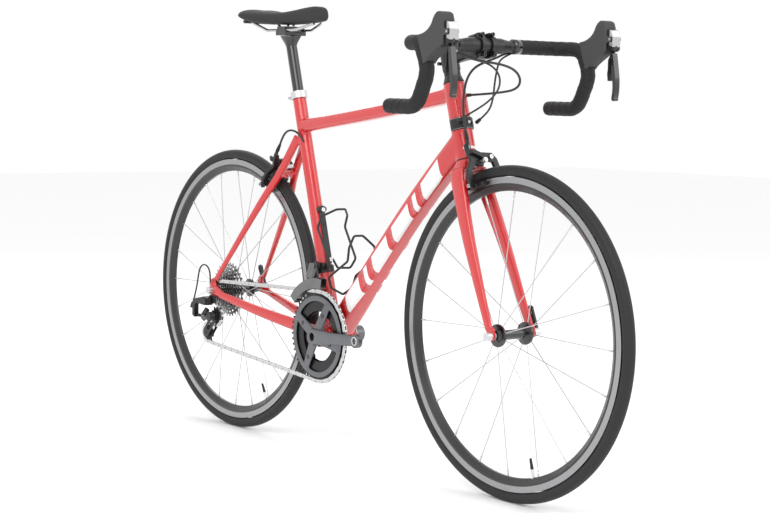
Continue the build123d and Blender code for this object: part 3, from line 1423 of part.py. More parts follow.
write(bottle_cages, "bottle_cages")

# ------------------------------------------------------------------ cable housings

front_brake_route = [
    Vector(388.5, 74.4, 895), Vector(389.5, 60, 892.5), Vector(392, 38, 884), Vector(392, 12, 876),
    Vector(380, -10, 864),
    Vector(369, -20, 842), Vector(366, -25, 811), Vector(368, -27, 780), Vector(373.6, -28, 752),
    Vector(382.8, -28, 721),
]
rear_brake_front_route = [
    Vector(388.3, -74.2, 895), Vector(389, -61, 891), Vector(394, -45, 884), Vector(405, -22, 877),
    Vector(420, 2, 873),
    Vector(438, 22, 868), Vector(455, 34, 858), Vector(463, 40, 843), Vector(457, 43, 828), Vector(438,
    43, 819),
    Vector(408, 41, 815), Vector(376, 36, 812), Vector(348, 29, 810), Vector(329, 22.5, 808.5),
]
right_gear_route = [
    Vector(383.5, -74, 899), Vector(383, -61, 893), Vector(386, -44, 884), Vector(397, -22, 878),
    Vector(411, -2, 872),
    Vector(421, 12, 860), Vector(427, 19, 842), Vector(424, 18, 820), Vector(411, 9, 800), Vector(392,
    -4, 783),
    Vector(374, -15, 771), Vector(357, -21, 760),
]
left_gear_route = [
    Vector(394, 74, 893), Vector(397, 60, 888.5), Vector(403, 44, 883), Vector(411, 28, 875),
    Vector(416, 18, 857),
    Vector(414, 15, 832), Vector(410, 16, 805), Vector(399, 19, 784), Vector(381, 22, 770), Vector(359,
    24, 758),
]
rear_gear_route = [
    Vector(-498, -76, 354.2), Vector(-498.6, -76, 372), Vector(-503.6, -76, 386.1), Vector(-515.6,
    -76.3, 394.8),
    Vector(-530.4, -77, 394.8), Vector(-542.4, -77.8, 386.1), Vector(-548, -78.5, 368), Vector(-553,
    -79, 343),
    Vector(-562, -79, 319), Vector(-571, -79, 300),
]
rear_brake_route = [
    Vector(-205, -15, 700), Vector(-211.5, -18, 711.3), Vector(-221.2, -22, 720), Vector(-233.4, -25.5,
    724.4),
    Vector(-246.4, -28, 723.5), Vector(-258.8, -29.3, 716.9), Vector(-270.9, -29, 703.4),
    Vector(-280.1, -28, 689.9), Vector(-290, -28, 676.1),
]


def bend_radii(points):
    """The largest arc that each corner's two runs allow."""
    radii = []
    for before, corner, after in zip(points, points[1:], points[2:]):
        first, second = corner - before, after - corner
        turn = radians(first.get_angle(second))
        radii.append(0.45 * min(first.length, second.length) / tan(turn / 2))
    return radii


def make_housing(points, radius, label):
    """A cable housing along its route, with its volume compared with its section times its length."""
    radii = bend_radii(points)
    with BuildPart() as housing:
        with BuildLine() as line:
            FilletPolyline(*points, radius=radii)
        with BuildSketch(Plane(origin=points[0], z_dir=points[1] - points[0])):
            Circle(radius)
        sweep()
    path_length = sum(edge.length for edge in line.edges())
    filled = housing.part.volume / (pi * radius ** 2 * path_length)
    print(label, "length", round(path_length, 1), "fill", round(filled, 4), "radii", [round(r,
        1) for r in radii])
    write(housing, label)


make_housing(front_brake_route, brake_housing_radius, "front_brake_housing")
make_housing(rear_brake_front_route, brake_housing_radius, "rear_brake_front_housing")
make_housing(right_gear_route, gear_housing_radius, "right_gear_housing")
make_housing(left_gear_route, gear_housing_radius, "left_gear_housing")
make_housing(rear_gear_route, gear_housing_radius, "rear_gear_housing")
make_housing(rear_brake_route, brake_housing_radius, "rear_brake_housing")
print("front barrel", tuple(round(c, 1) for c in front_barrel), "rear", tuple(round(c,
    1) for c in rear_barrel))
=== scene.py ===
"""A road bicycle with a drop bar, rim brakes and bare crank arms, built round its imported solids."""

import json
import logging
import math
from dataclasses import dataclass
from enum import Enum
from typing import Iterable, Sequence

import bmesh
import bpy
from mathutils import Matrix, Vector


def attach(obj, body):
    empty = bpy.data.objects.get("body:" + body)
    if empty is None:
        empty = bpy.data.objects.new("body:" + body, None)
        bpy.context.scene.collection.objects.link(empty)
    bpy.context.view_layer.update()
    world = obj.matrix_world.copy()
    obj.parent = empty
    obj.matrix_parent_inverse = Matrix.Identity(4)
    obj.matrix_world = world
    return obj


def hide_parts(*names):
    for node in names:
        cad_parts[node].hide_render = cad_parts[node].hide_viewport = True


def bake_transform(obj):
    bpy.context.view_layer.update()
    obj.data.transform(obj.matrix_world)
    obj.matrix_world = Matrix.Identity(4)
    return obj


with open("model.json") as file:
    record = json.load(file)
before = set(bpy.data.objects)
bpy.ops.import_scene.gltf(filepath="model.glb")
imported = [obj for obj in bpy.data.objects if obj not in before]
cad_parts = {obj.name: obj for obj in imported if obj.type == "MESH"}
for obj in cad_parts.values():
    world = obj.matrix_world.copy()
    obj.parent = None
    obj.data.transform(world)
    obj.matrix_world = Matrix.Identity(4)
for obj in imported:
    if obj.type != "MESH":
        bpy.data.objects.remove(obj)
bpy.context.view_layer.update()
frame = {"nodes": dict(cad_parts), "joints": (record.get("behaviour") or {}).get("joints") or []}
LOG = logging.getLogger("road_bicycle")
LEFT = Vector((0, 1, 0))
UPWARD = Vector((0, 0, 1))

HEAD_ANGLE = math.radians(73.5)
SEAT_ANGLE = math.radians(74)
STEER_UP = Vector((-math.cos(HEAD_ANGLE), 0, math.sin(HEAD_ANGLE)))
STEER_FORWARD = Vector((math.sin(HEAD_ANGLE), 0, math.cos(HEAD_ANGLE)))
SEAT_UP = Vector((-math.cos(SEAT_ANGLE), 0, math.sin(SEAT_ANGLE)))
SEAT_FORWARD = Vector((math.sin(SEAT_ANGLE), 0, math.cos(SEAT_ANGLE)))


def joint_place(name: str) -> Vector:
    """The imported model's pivot of one joint."""
    return Vector(next(j["pos_m"] for j in frame["joints"] if j["name"] == name))


FRONT_AXLE = joint_place("front_wheel_spin")
REAR_AXLE = joint_place("rear_wheel_spin")
CRANK_AXLE = joint_place("crank_turn")
STEER_FOOT = FRONT_AXLE - STEER_FORWARD * 0.045


def steer(up: float, forward: float = 0.0, y: float = 0.0) -> Vector:
    """A point by its distance up the steering axis, in front of it and to the left."""
    return STEER_FOOT + STEER_UP * up + STEER_FORWARD * forward + LEFT * y


def seat(up: float, forward: float = 0.0, y: float = 0.0) -> Vector:
    """A point by its distance up the seat tube, in front of it and to the left."""
    return CRANK_AXLE + SEAT_UP * up + SEAT_FORWARD * forward + LEFT * y


def between(start: Vector, end: Vector, part: float, rise: float = 0.0, y: float | None = None) -> Vector:
    """A point part of the way from start to end, raised, and at a given side place if one is said.

    Args:
        start: The near end.
        end: The far end.
        part: The share of the way.
        rise: How much it is raised.
        y: Its own side place, if it has one.

    Returns:
        The point.
    """
    place = start.lerp(end, part) + UPWARD * rise
    if y is not None:
        place.y = y
    return place


# ------------------------------------------------------------------------------- finishes


class Grain(Enum):
    """The small relief of a surface."""

    NONE = "none"
    FINE = "fine"
    LEATHER = "leather"
    BRUSHED = "brushed"
    CAST = "cast"


def add_node(tree: bpy.types.NodeTree, kind: str, settings: dict | None,
             inputs: dict[str, object]) -> bpy.types.Node:
    """Add a node to a tree, set its properties, and fill or link its inputs.

    Args:
        tree: The tree, of a material or of geometry nodes.
        kind: The node's type name.
        settings: Properties to set on it.
        inputs: Values or output sockets by input name, with _ for a space, or in0, in1 by place.

    Returns:
        The node.
    """
    made = tree.nodes.new(kind)
    for key, value in (settings or {}).items():
        setattr(made, key, value)
    for key, value in inputs.items():
        by_place = key[:2] == "in" and key[2:].isdigit()
        socket = made.inputs[int(key[2:]) if by_place else key.replace("_", " ")]
        if isinstance(value, bpy.types.NodeSocket):
            tree.links.new(value, socket)
        else:
            socket.default_value = value
    return made


class Bench:
    """A material's node tree with its shader, and short ways to add to it."""

    def __init__(self, name: str) -> None:
        """Start an empty material.

        Args:
            name: The material's name.
        """
        self.material = bpy.data.materials.new(name)
        self.material.use_nodes = True
        self.tree = self.material.node_tree
        self.shader = self.tree.nodes["Principled BSDF"]
        self.place = self.tree.nodes.new("ShaderNodeTexCoord").outputs["Object"]

    def node(self, kind: str, settings: dict | None = None, **inputs: object) -> bpy.types.Node:
        """Add a node to the material, as add_node says."""
        return add_node(self.tree, kind, settings, inputs)

    def maths(self, operation: str, first: object, second: object = 0.0,
        clamp: bool = False) -> bpy.types.NodeSocket:
        """The output of one sum on two values or sockets."""
        return self.node("ShaderNodeMath", {"operation": operation, "use_clamp": clamp}, in0=first,
        in1=second).outputs[0]

    def times(self, first: object, second: object) -> bpy.types.NodeSocket:
        """The product of two values or sockets."""
        return self.maths("MULTIPLY", first, second)

    def over(self, value: object, limit: object) -> bpy.types.NodeSocket:
        """1 where a value is above a limit."""
        return self.maths("GREATER_THAN", value, limit)

    def along(self, direction: Sequence[float], start: Sequence[float]) -> bpy.types.NodeSocket:
        """How far a point lies from start along a direction.

        Args:
            direction: The way it is measured.
            start: Where it is 0.

        Returns:
            The distance.
        """
        direction = Vector(direction).normalized()
        dot = self.node("ShaderNodeVectorMath", {"operation": "DOT_PRODUCT"}, in0=self.place,
                        in1=tuple(direction)).outputs["Value"]
        return self.maths("SUBTRACT", dot, Vector(start).dot(direction))

    def band(self, value: bpy.types.NodeSocket, low: float, high: float) -> bpy.types.NodeSocket:
        """1 where a value lies between low and high."""
        return self.times(self.over(value, low), self.maths("LESS_THAN", value, high))

    def mix(self, share: object, first: object, second: object) -> bpy.types.NodeSocket:
        """Two colours mixed by a share.

        Args:
            share: 0 gives the first colour, 1 the second.
            first: A colour or its socket.
            second: A colour or its socket.

        Returns:
            The mixed colour.
        """
        mixed = self.node("ShaderNodeMix", {"data_type": "RGBA"})
        for place, value in ((0, share), (6, first), (7, second)):
            self.fill(mixed.inputs[place], value)
        return mixed.outputs[2]

    def set(self, name: str, value: object) -> None:
        """Fill or link one input of the shader."""
        self.fill(self.shader.inputs[name], value)

    def fill(self, socket: bpy.types.NodeSocket, value: object) -> None:
        """Fill or link an input, with full alpha for a colour of three numbers.

        Args:
            socket: The input.
            value: A value, a colour or an output socket.
        """
        if isinstance(value, bpy.types.NodeSocket):
            self.tree.links.new(value, socket)
        else:
            socket.default_value = (*value, 1.0) if isinstance(value, tuple) and len(value) == 3 else value

    def relief(self, height: bpy.types.NodeSocket, depth: float) -> None:
        """Turn a height into the surface's normal."""
        bump = self.node("ShaderNodeBump", Strength=1.0, Distance=depth, Height=height)
        self.set("Normal", bump.outputs["Normal"])

    def noise(self, scale: float, detail: float = 3.0, vector: object = None) -> bpy.types.NodeSocket:
        """Noise on object coordinates, or on a given vector."""
        source = vector if vector is not None else self.place
        return self.node("ShaderNodeTexNoise", Vector=source, Scale=scale, Detail=detail).outputs["Fac"]


@dataclass(frozen=True)
class Finish:
    """A plain surface: colour, gloss, and the grain that breaks both up."""

    name: str
    colour: tuple[float, float, float]
    rough: float = 0.4
    metal: float = 0.0
    coat: float = 0.0
    grain: Grain = Grain.FINE
    grain_scale: float = 900.0
    grain_depth: float = 0.0001
    tint: float = 0.12
    rough_spread: float = 0.12

    def colours(self, bench: Bench) -> object:
        """The base colour, uneven by a few percent.

        Args:
            bench: The material that is being built.

        Returns:
            The colour.
        """
        dark = tuple(c * (1 - self.tint) for c in self.colour)
        light = tuple(min(1.0, c * (1 + self.tint)) for c in self.colour)
        return bench.mix(bench.noise(35.0, 4.0), dark, light)

    def heights(self, bench: Bench) -> bpy.types.NodeSocket | None:
        """The grain's height, or None for a smooth surface.

        Args:
            bench: The material that is being built.

        Returns:
            The height, or None.
        """
        if self.grain is Grain.NONE:
            return None
        if self.grain is Grain.LEATHER:
            cells = bench.node("ShaderNodeTexVoronoi", {"feature": "DISTANCE_TO_EDGE"},
                               Vector=bench.place, Scale=self.grain_scale)
            return bench.maths("MINIMUM", cells.outputs["Distance"], 0.12)
        if self.grain is Grain.BRUSHED:
            stretched = bench.node("ShaderNodeMapping", Vector=bench.place, Scale=(0.04, 1.0, 1.0))
            return bench.noise(self.grain_scale, 2.0, stretched.outputs[0])
        return bench.noise(self.grain_scale, 2.0 if self.grain is Grain.FINE else 5.0)

    def extras(self, bench: Bench) -> None:
        """Anything a special finish adds."""

    def make(self) -> bpy.types.Material:
        """Build the material once, and hand it out after that.

        Returns:
            The material.
        """
        if self.name in bpy.data.materials:
            return bpy.data.materials[self.name]
        bench = Bench(self.name)
        bench.set("Base Color", self.colours(bench))
        bench.set("Metallic", self.metal)
        spread = bench.times(bench.maths("SUBTRACT", bench.noise(60.0, 5.0), 0.5), self.rough_spread)
        bench.set("Roughness", bench.maths("ADD", spread, self.rough, True))
        if self.coat:
            bench.set("Coat Weight", self.coat)
            bench.set("Coat Roughness", 0.04)
        height = self.heights(bench)
        if height is not None:
            bench.relief(height, self.grain_depth)
        self.extras(bench)
        return bench.material


@dataclass(frozen=True)
class FramePaint(Finish):
    """Gloss paint under lacquer, with slanted bars on the down tube and small plain labels."""

    white: tuple[float, float, float] = (0.85, 0.85, 0.84)
    grey: tuple[float, float, float] = (0.33, 0.33, 0.34)

    def colours(self, bench: Bench) -> object:
        """Paint with its graphics laid over it.

        Args:
            bench: The material that is being built.

        Returns:
            The colour.
        """
        base = super().colours(bench)
        start, end = DOWN_TUBE[2][0], DOWN_TUBE[0][0]
        axis = (end - start).normalized()
        above = axis.cross(LEFT)
        run = bench.along(axis, start)
        rise = bench.along(above, start)
        beside = bench.maths("ABSOLUTE", bench.along((0, 1, 0), (0, 0, 0)))
        on_tube = bench.times(bench.band(rise, -0.017, 0.017), bench.over(beside, 0.0145))
        slant = bench.maths("ADD", run, bench.times(rise, -0.5))
        dots = bench.node("ShaderNodeTexVoronoi", Vector=bench.place, Scale=520.0)
        fade = bench.maths("LESS_THAN", dots.outputs["Distance"], 0.36)
        shown = base
        for low, high in (
            (0.085, 0.150), (0.175, 0.190), (0.215, 0.285), (0.310, 0.385), (0.405, 0.420), (0.445, 0.520)
        ):
            bar = bench.times(bench.band(slant, low, high), on_tube)
            edge = bench.times(bench.band(slant, low - 0.010, low), on_tube)
            shown = bench.mix(bar, shown, self.white)
            shown = bench.mix(bench.times(edge, fade), shown, self.grey)
        up = bench.along(STEER_UP, steer(0))
        ahead = bench.along(STEER_FORWARD, steer(0))
        name_line = bench.times(bench.band(up, 0.388, 0.393), bench.over(ahead, 0.014))
        shown = bench.mix(name_line, shown, self.white)
        return shown

    def extras(self, bench: Bench) -> None:
        """A hard lacquer over the paint."""
        bench.set("Specular IOR Level", 0.6)


@dataclass(frozen=True)
class LeverCap(Finish):
    """A lever cap: black body with a bright plate on the middle of its face."""

    plate: tuple[float, float, float] = (0.55, 0.55, 0.56)
    face: float = 0.5475
    low: float = 0.912

    def bright(self, bench: Bench) -> bpy.types.NodeSocket:
        """1 on the plate, towards the front and above the lever's pin.

        Args:
            bench: The material that is being built.

        Returns:
            The mask.
        """
        front = bench.over(bench.along((1, 0, 0), (self.face, 0, 0)), 0.0)
        above = bench.over(bench.along((0.35, 0, 1), (self.face, 0, self.low)), 0.0)
        return bench.times(front, above)

    def colours(self, bench: Bench) -> object:
        """Black with the plate over it."""
        return bench.mix(self.bright(bench), super().colours(bench), self.plate)

    def extras(self, bench: Bench) -> None:
        """The plate is bare metal."""
        bench.set("Metallic", self.bright(bench))


@dataclass(frozen=True)
class BrakeTrack(Finish):
    """A rim: black sides, a turned silver track, and fine rings where it was cut."""

    centre: tuple[float, float, float] = (0.0, 0.0, 0.0)
    inner: float = 0.3005
    silver: tuple[float, float, float] = (0.36, 0.36, 0.37)

    def radius(self, bench: Bench) -> bpy.types.NodeSocket:
        """How far a point lies from the axle.

        Args:
            bench: The material that is being built.

        Returns:
            The distance.
        """
        flat = bench.node("ShaderNodeVectorMath", {"operation": "MULTIPLY"},
                          in0=bench.node("ShaderNodeVectorMath", {"operation": "SUBTRACT"},
                                         in0=bench.place, in1=self.centre).outputs[0],
                          in1=(1, 0, 1))
        return bench.node("ShaderNodeVectorMath", {"operation": "LENGTH"},
        in0=flat.outputs[0]).outputs["Value"]

    def colours(self, bench: Bench) -> object:
        """Black below the track and bright metal on it."""
        return bench.mix(bench.over(self.radius(bench), self.inner), super().colours(bench),
                         self.silver)

    def heights(self, bench: Bench) -> bpy.types.NodeSocket:
        """Fine turned rings."""
        return bench.maths("SINE", bench.times(self.radius(bench), 9000.0))

    def extras(self, bench: Bench) -> None:
        """The track is bare metal."""
        bench.set("Metallic", bench.over(self.radius(bench), self.inner))


@dataclass(frozen=True)
class TyreRubber(Finish):
    """Tyre rubber with a fine file tread round its crown, read from the tyre's own map."""

    def heights(self, bench: Bench) -> bpy.types.NodeSocket:
        """Crossed grooves on the crown, smooth sides.

        Args:
            bench: The material that is being built.

        Returns:
            The height.
        """
        uv = bench.node("ShaderNodeUVMap", {"uv_map": "UVMap"})
        parts = bench.node("ShaderNodeSeparateXYZ", Vector=uv.outputs[0])
        across = bench.maths("ABSOLUTE", bench.maths("SUBTRACT", parts.outputs[1], 0.5))
        crown = bench.maths("LESS_THAN", across, 0.16)
        lean = bench.maths("ADD", bench.times(parts.outputs[0], 1500.0),
                           bench.times(across, 60.0))
        tread = bench.times(bench.over(bench.maths("SINE", lean), 0.3), crown)
        return bench.maths("ADD", bench.times(tread, -1.0), bench.noise(700.0, 4.0))


GLOSS_BLACK = Finish("black_gloss", (0.003, 0.003, 0.0035), 0.22, 0.0, 0.8, Grain.FINE, 500.0, 0.00004)
SATIN_BLACK = Finish("black_satin", (0.006, 0.006, 0.0065), 0.40, 0.0, 0.1, Grain.FINE, 1400.0, 0.00008)
MATT_BLACK = Finish("black_matt", (0.012, 0.012, 0.012), 0.62, 0.0, 0.0, Grain.CAST, 1200.0, 0.00012)
HOOD_RUBBER = Finish("hood_rubber", (0.008, 0.008, 0.0085), 0.62, 0.0, 0.0, Grain.LEATHER, 620.0, 0.00025)
TAPE = Finish("bar_tape_cork", (0.004, 0.004, 0.0045), 0.66, 0.0, 0.0, Grain.LEATHER, 900.0, 0.0004)
SADDLE_SKIN = Finish("saddle_skin", (0.012, 0.012, 0.012), 0.55, 0.0, 0.0, Grain.LEATHER, 800.0, 0.0003)
GRAPHITE = Finish("graphite_anodised", (0.16, 0.165, 0.175), 0.33, 0.9, 0.15, Grain.FINE, 1500.0, 0.00005)
SILVER = Finish("silver_alloy", (0.46, 0.46, 0.47), 0.30, 1.0, 0.0, Grain.BRUSHED, 1500.0, 0.00006)
CHROME = Finish("bright_steel", (0.55, 0.55, 0.56), 0.16, 1.0, 0.0, Grain.FINE, 900.0, 0.00002)
CHAIN_STEEL = Finish("chain_steel", (0.27, 0.27, 0.27), 0.30, 1.0, 0.0, Grain.BRUSHED, 1200.0, 0.00005, 0.3)
SPROCKET_STEEL = Finish(
    "sprocket_steel", (0.36, 0.36, 0.36), 0.3, 1.0, 0.0, Grain.BRUSHED, 900.0, 0.00006, 0.2
)
RING_BLACK = Finish("chainring_black", (0.02, 0.02, 0.022), 0.35, 0.6, 0.1, Grain.FINE, 1200.0, 0.00006)
LEVER_CAP = LeverCap("lever_cap", (0.004, 0.004, 0.0045), 0.25, 0.0, 0.0, Grain.FINE, 900.0, 0.00004)
GUIDE_STEEL = Finish(
    "guide_steel", (0.20, 0.20, 0.205), 0.32, 1.0, 0.0, Grain.BRUSHED, 1100.0, 0.00005, 0.2
)
HOUSING = Finish("cable_housing", (0.012, 0.012, 0.012), 0.38, 0.0, 0.3, Grain.FINE, 900.0, 0.00004)
TYRE = TyreRubber("tyre_rubber", (0.009, 0.009, 0.0095), 0.60, 0.0, 0.0, Grain.FINE, 700.0, 0.0002)
RED_PAINT = FramePaint(
    "red_lacquer", (0.58, 0.0035, 0.006), 0.32, 0.0, 1.0, Grain.FINE, 350.0, 0.00003, 0.05, 0.04
)

# ------------------------------------------------------------------------------- shaping


def placed(name: str, data: bpy.types.ID) -> bpy.types.Object:
    """Make an object of some data in the scene.

    Args:
        name: The object's name.
        data: Its mesh, curve, light or camera.

    Returns:
        The object.
    """
    made = bpy.data.objects.new(name, data)
    bpy.context.scene.collection.objects.link(made)
    return made


def piece(name: str, mesh: bpy.types.Mesh, finish: Finish, body: str,
          stands_for: Iterable[str] = ()) -> bpy.types.Object:
    """Make a shown object of a mesh, dress it, and tie it to a body.

    Args:
        name: The object's name.
        mesh: Its mesh, already in place.
        finish: Its finish.
        body: The body that it moves with.
        stands_for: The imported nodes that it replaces.

    Returns:
        The object.
    """
    made = placed(name, mesh)
    mesh.materials.clear()
    mesh.materials.append(finish.make())
    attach(made, body)
    nodes = tuple(stands_for)
    if nodes:
        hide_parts(*nodes)
    LOG.info("%s: %d faces on %s", name, len(mesh.polygons), body)
    return made


def mesh_of(name: str, bm: bmesh.types.BMesh, smooth: bool = True) -> bpy.types.Mesh:
    """Finish a bmesh: merge doubles, face outwards, shade, and turn it into a mesh.

    Args:
        name: The mesh's name.
        bm: The shape, which is freed.
        smooth: Whether its faces are shaded soft.

    Returns:
        The mesh.
    """
    bmesh.ops.remove_doubles(bm, verts=bm.verts, dist=1e-6)
    bmesh.ops.recalc_face_normals(bm, faces=bm.faces)
    mesh = bpy.data.meshes.new(name)
    bm.to_mesh(mesh)
    bm.free()
    mesh.polygons.foreach_set("use_smooth", [smooth] * len(mesh.polygons))
    return mesh


def baked(made: bpy.types.Object) -> bpy.types.Mesh:
    """The mesh that an object's modifiers give; the object itself goes.

    Args:
        made: The object, which is removed.

    Returns:
        The mesh.
    """
    bpy.context.view_layer.update()
    graph = bpy.context.evaluated_depsgraph_get()
    mesh = bpy.data.meshes.new_from_object(made.evaluated_get(graph))
    bpy.data.objects.remove(made)
    return mesh


def ring(centre: Vector, across: Vector, upright: Vector, width: float, depth: float, power: float = 3.0,
         count: int = 32) -> list[Vector]:
    """Points round a superellipse.

    Args:
        centre: Its middle.
        across: The direction of its width.
        upright: The direction of its depth.
        width: Its whole width.
        depth: Its whole depth.
        power: 2 is round, more is squarer.
        count: How many points.

    Returns:
        The points in order.
    """
    points = []
    for index in range(count):
        angle = 2 * math.pi * (index + 0.5) / count
        c, s = math.cos(angle), math.sin(angle)
        x = math.copysign(abs(c) ** (2 / power), c) * width / 2
        z = math.copysign(abs(s) ** (2 / power), s) * depth / 2
        points.append(centre + across * x + upright * z)
    return points


def skin(bm: bmesh.types.BMesh, rings: Sequence[Sequence[Vector]]) -> None:
    """Join rings of points with faces, and close the ends.

    Args:
        bm: The shape that is being built.
        rings: Rings of as many points each.
    """
    rows = [[bm.verts.new(p) for p in points] for points in rings]
    for first, second in zip(rows, rows[1:]):
        count = len(first)
        for i in range(count):
            bm.faces.new((first[i], first[(i + 1) % count], second[(i + 1) % count], second[i]))
    bm.faces.new(list(reversed(rows[0])))
    bm.faces.new(rows[-1])


def smooth_values(knots: Sequence[Sequence[float]], steps: int) -> list[list[float]]:
    """Values along a smooth curve through knots, a few steps from each to the next.

    Args:
        knots: Rows of values.
        steps: How many rows from each knot to the next.

    Returns:
        The rows.
    """
    result = []
    last = len(knots) - 1
    for i in range(last):
        a, b, c, d = knots[max(i - 1, 0)], knots[i], knots[i + 1], knots[min(i + 2, last)]
        for step in range(steps):
            t = step / steps
            result.append([0.5 * (2 * q + (r - p) * t + (2 * p - 5 * q + 4 * r - s) * t * t
                                  + (3 * q - p - 3 * r + s) * t ** 3) for p, q, r, s in zip(a, b, c, d)])
    result.append(list(knots[last]))
    return result


def tube(bm: bmesh.types.BMesh, stations: Sequence[tuple[Vector, float, float, float]], steps: int = 1,
         mirrored: bool = False) -> None:
    """A closed tube through stations of centre, width across the bicycle, depth and squareness.

    Args:
        bm: The shape that is being built.
        stations: Centre, width, depth and squareness at each place.
        steps: How many rings from one to the next.
        mirrored: Whether the other side gets one too.
    """
    for hand in ((1, -1) if mirrored else (1,)):
        knots = [[c.x, c.y * hand, c.z, w, d, p] for c, w, d, p in stations]
        rows = smooth_values(knots, steps) if steps > 1 else knots
        centres = [Vector(row[:3]) for row in rows]
        rings = []
        for i, row in enumerate(rows):
            along = centres[min(i + 1, len(rows) - 1)] - centres[max(i - 1, 0)]
            along.y = 0
            rings.append(ring(centres[i], LEFT, along.normalized().cross(LEFT), row[3], row[4], row[5]))
        skin(bm, rings)


def rod(bm: bmesh.types.BMesh, start: Vector, end: Vector, radius: float, count: int = 32,
        far_radius: float | None = None) -> None:
    """A round bar or cone.

    Args:
        bm: The shape that is being built.
        start: The middle of one end.
        end: The middle of the other.
        radius: Its radius, at the start.
        count: How many points go round it.
        far_radius: Its radius at the end, if another.
    """
    along = (end - start).normalized()
    across = along.orthogonal().normalized()
    upright = along.cross(across)
    far = radius if far_radius is None else far_radius
    skin(bm, [ring(start, across, upright, 2 * radius, 2 * radius, 2, count),
              ring(end, across, upright, 2 * far, 2 * far, 2, count)])


def plate(bm: bmesh.types.BMesh, outline: Sequence[tuple[float, float]], origin: Vector, y: float,
          thickness: float) -> None:
    """A flat plate upright along the bicycle, from outline points forward and up of origin.

    Args:
        bm: The shape that is being built.
        outline: Points forward and up of the origin.
        origin: Where the outline is measured from.
        y: The side place of its right face.
        thickness: How thick it is.
    """
    rows = [[bm.verts.new(Vector((origin.x + x, side, origin.z + z))) for x, z in outline]
            for side in (y, y + thickness)]
    count = len(outline)
    for i in range(count):
        bm.faces.new((rows[0][i], rows[0][(i + 1) % count], rows[1][(i + 1) % count], rows[1][i]))
    bm.faces.new(rows[0])
    bm.faces.new(rows[1][::-1])


def fused(name: str, bm: bmesh.types.BMesh, voxel: float, passes: int) -> bpy.types.Mesh:
    """Melt overlapping closed shapes into one skin with soft joints.

    Args:
        name: The new mesh's name.
        bm: The shapes.
        voxel: The grain of the new skin.
        passes: How often it is smoothed.

    Returns:
        The mesh.
    """
    rough = placed(name, mesh_of(name, bm))
    remesh = rough.modifiers.new("melt", "REMESH")
    remesh.mode = "VOXEL"
    remesh.voxel_size = voxel
    remesh.use_smooth_shade = True
    calm = rough.modifiers.new("calm", "SMOOTH")
    calm.factor = 0.5
    calm.iterations = passes
    return baked(rough)


def copied(*nodes: str) -> bmesh.types.BMesh:
    """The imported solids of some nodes, merged so that their edges join.

    Args:
        nodes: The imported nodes.

    Returns:
        The merged shape.
    """
    bm = bmesh.new()
    for node in nodes:
        bm.from_mesh(frame["nodes"][node].data)
    bmesh.ops.remove_doubles(bm, verts=bm.verts, dist=2e-6)
    return bm


def softened(name: str, nodes: Sequence[str], voxel: float, passes: int) -> bpy.types.Mesh:
    """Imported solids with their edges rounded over, as a forging or moulding has them.

    Args:
        name: The new mesh's name.
        nodes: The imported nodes.
        voxel: The grain of the new skin.
        passes: How often it is smoothed.

    Returns:
        The mesh.
    """
    return fused(name, copied(*nodes), voxel, passes)


def moulded(name: str, node: str, voxel: float, passes: int, finish: Finish, body: str) -> None:
    """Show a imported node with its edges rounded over.

    Args:
        name: The piece's name.
        node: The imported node, which the piece replaces.
        voxel: The grain of the new skin.
        passes: How often it is smoothed.
        finish: Its finish.
        body: The body that it moves with.
    """
    piece(name, softened(name, [node], voxel, passes), finish, body, (node,))


def modelled(name: str, bm: bmesh.types.BMesh, finish: Finish, body: str,
             stands_for: Iterable[str] = (), smooth: bool = True) -> None:
    """Show a shape built here, as piece says.

    Args:
        name: The piece's name.
        bm: Its shape.
        finish: Its finish.
        body: The body that it moves with.
        stands_for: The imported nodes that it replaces.
        smooth: Whether its faces are shaded soft.
    """
    piece(name, mesh_of(name, bm, smooth), finish, body, stands_for)


def dress(node: str, finish: Finish) -> None:
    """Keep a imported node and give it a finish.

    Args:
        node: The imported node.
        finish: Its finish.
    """
    kept = frame["nodes"][node]
    kept.data.materials.clear()
    kept.data.materials.append(finish.make())


DOWN_TUBE = [(steer(0.405), 0.044, 0.052, 4.0), (Vector((0, 0, 0)), 0.050, 0.046, 4.0),
             (CRANK_AXLE + Vector((0.020, 0, 0.018)), 0.060, 0.044, 4.0)]
DOWN_TUBE[1] = (between(DOWN_TUBE[0][0], DOWN_TUBE[2][0], 0.39, 0.014), 0.050, 0.046, 4.0)

# ------------------------------------------------------------------------------- geometry nodes


class Tree:
    """A geometry node tree with named inputs, and short ways to add to it."""

    def __init__(self, name: str) -> None:
        """Start an empty tree with a mesh coming in and one going out."""
        self.group = bpy.data.node_groups.new(name, "GeometryNodeTree")
        self.group.interface.new_socket("Geometry", in_out="INPUT", socket_type="NodeSocketGeometry")
        self.group.interface.new_socket("Geometry", in_out="OUTPUT", socket_type="NodeSocketGeometry")
        self.entry = self.group.nodes.new("NodeGroupInput")
        self.exit = self.group.nodes.new("NodeGroupOutput")

    def wanted(self, name: str, kind: str, value: object = None) -> None:
        """Add a named input with its usual value.

        Args:
            name: The input's name.
            kind: Its socket's type.
            value: Its usual value.
        """
        socket = self.group.interface.new_socket(name, in_out="INPUT", socket_type=kind)
        if value is not None:
            socket.default_value = value

    def node(self, kind: str, settings: dict | None = None, **inputs: object) -> bpy.types.Node:
        """Add a node to the tree, as add_node says."""
        return add_node(self.group, kind, settings, inputs)

    def finish(self, geometry: bpy.types.NodeSocket) -> bpy.types.NodeTree:
        """End in Realize Instances and Set Material.

        Args:
            geometry: What the tree has made.

        Returns:
            The whole tree.
        """
        real = self.node("GeometryNodeRealizeInstances", Geometry=geometry)
        dressed = self.node("GeometryNodeSetMaterial", Geometry=real.outputs[0],
                            Material=self.entry.outputs["Finish"])
        self.group.links.new(dressed.outputs[0], self.exit.inputs[0])
        return self.group


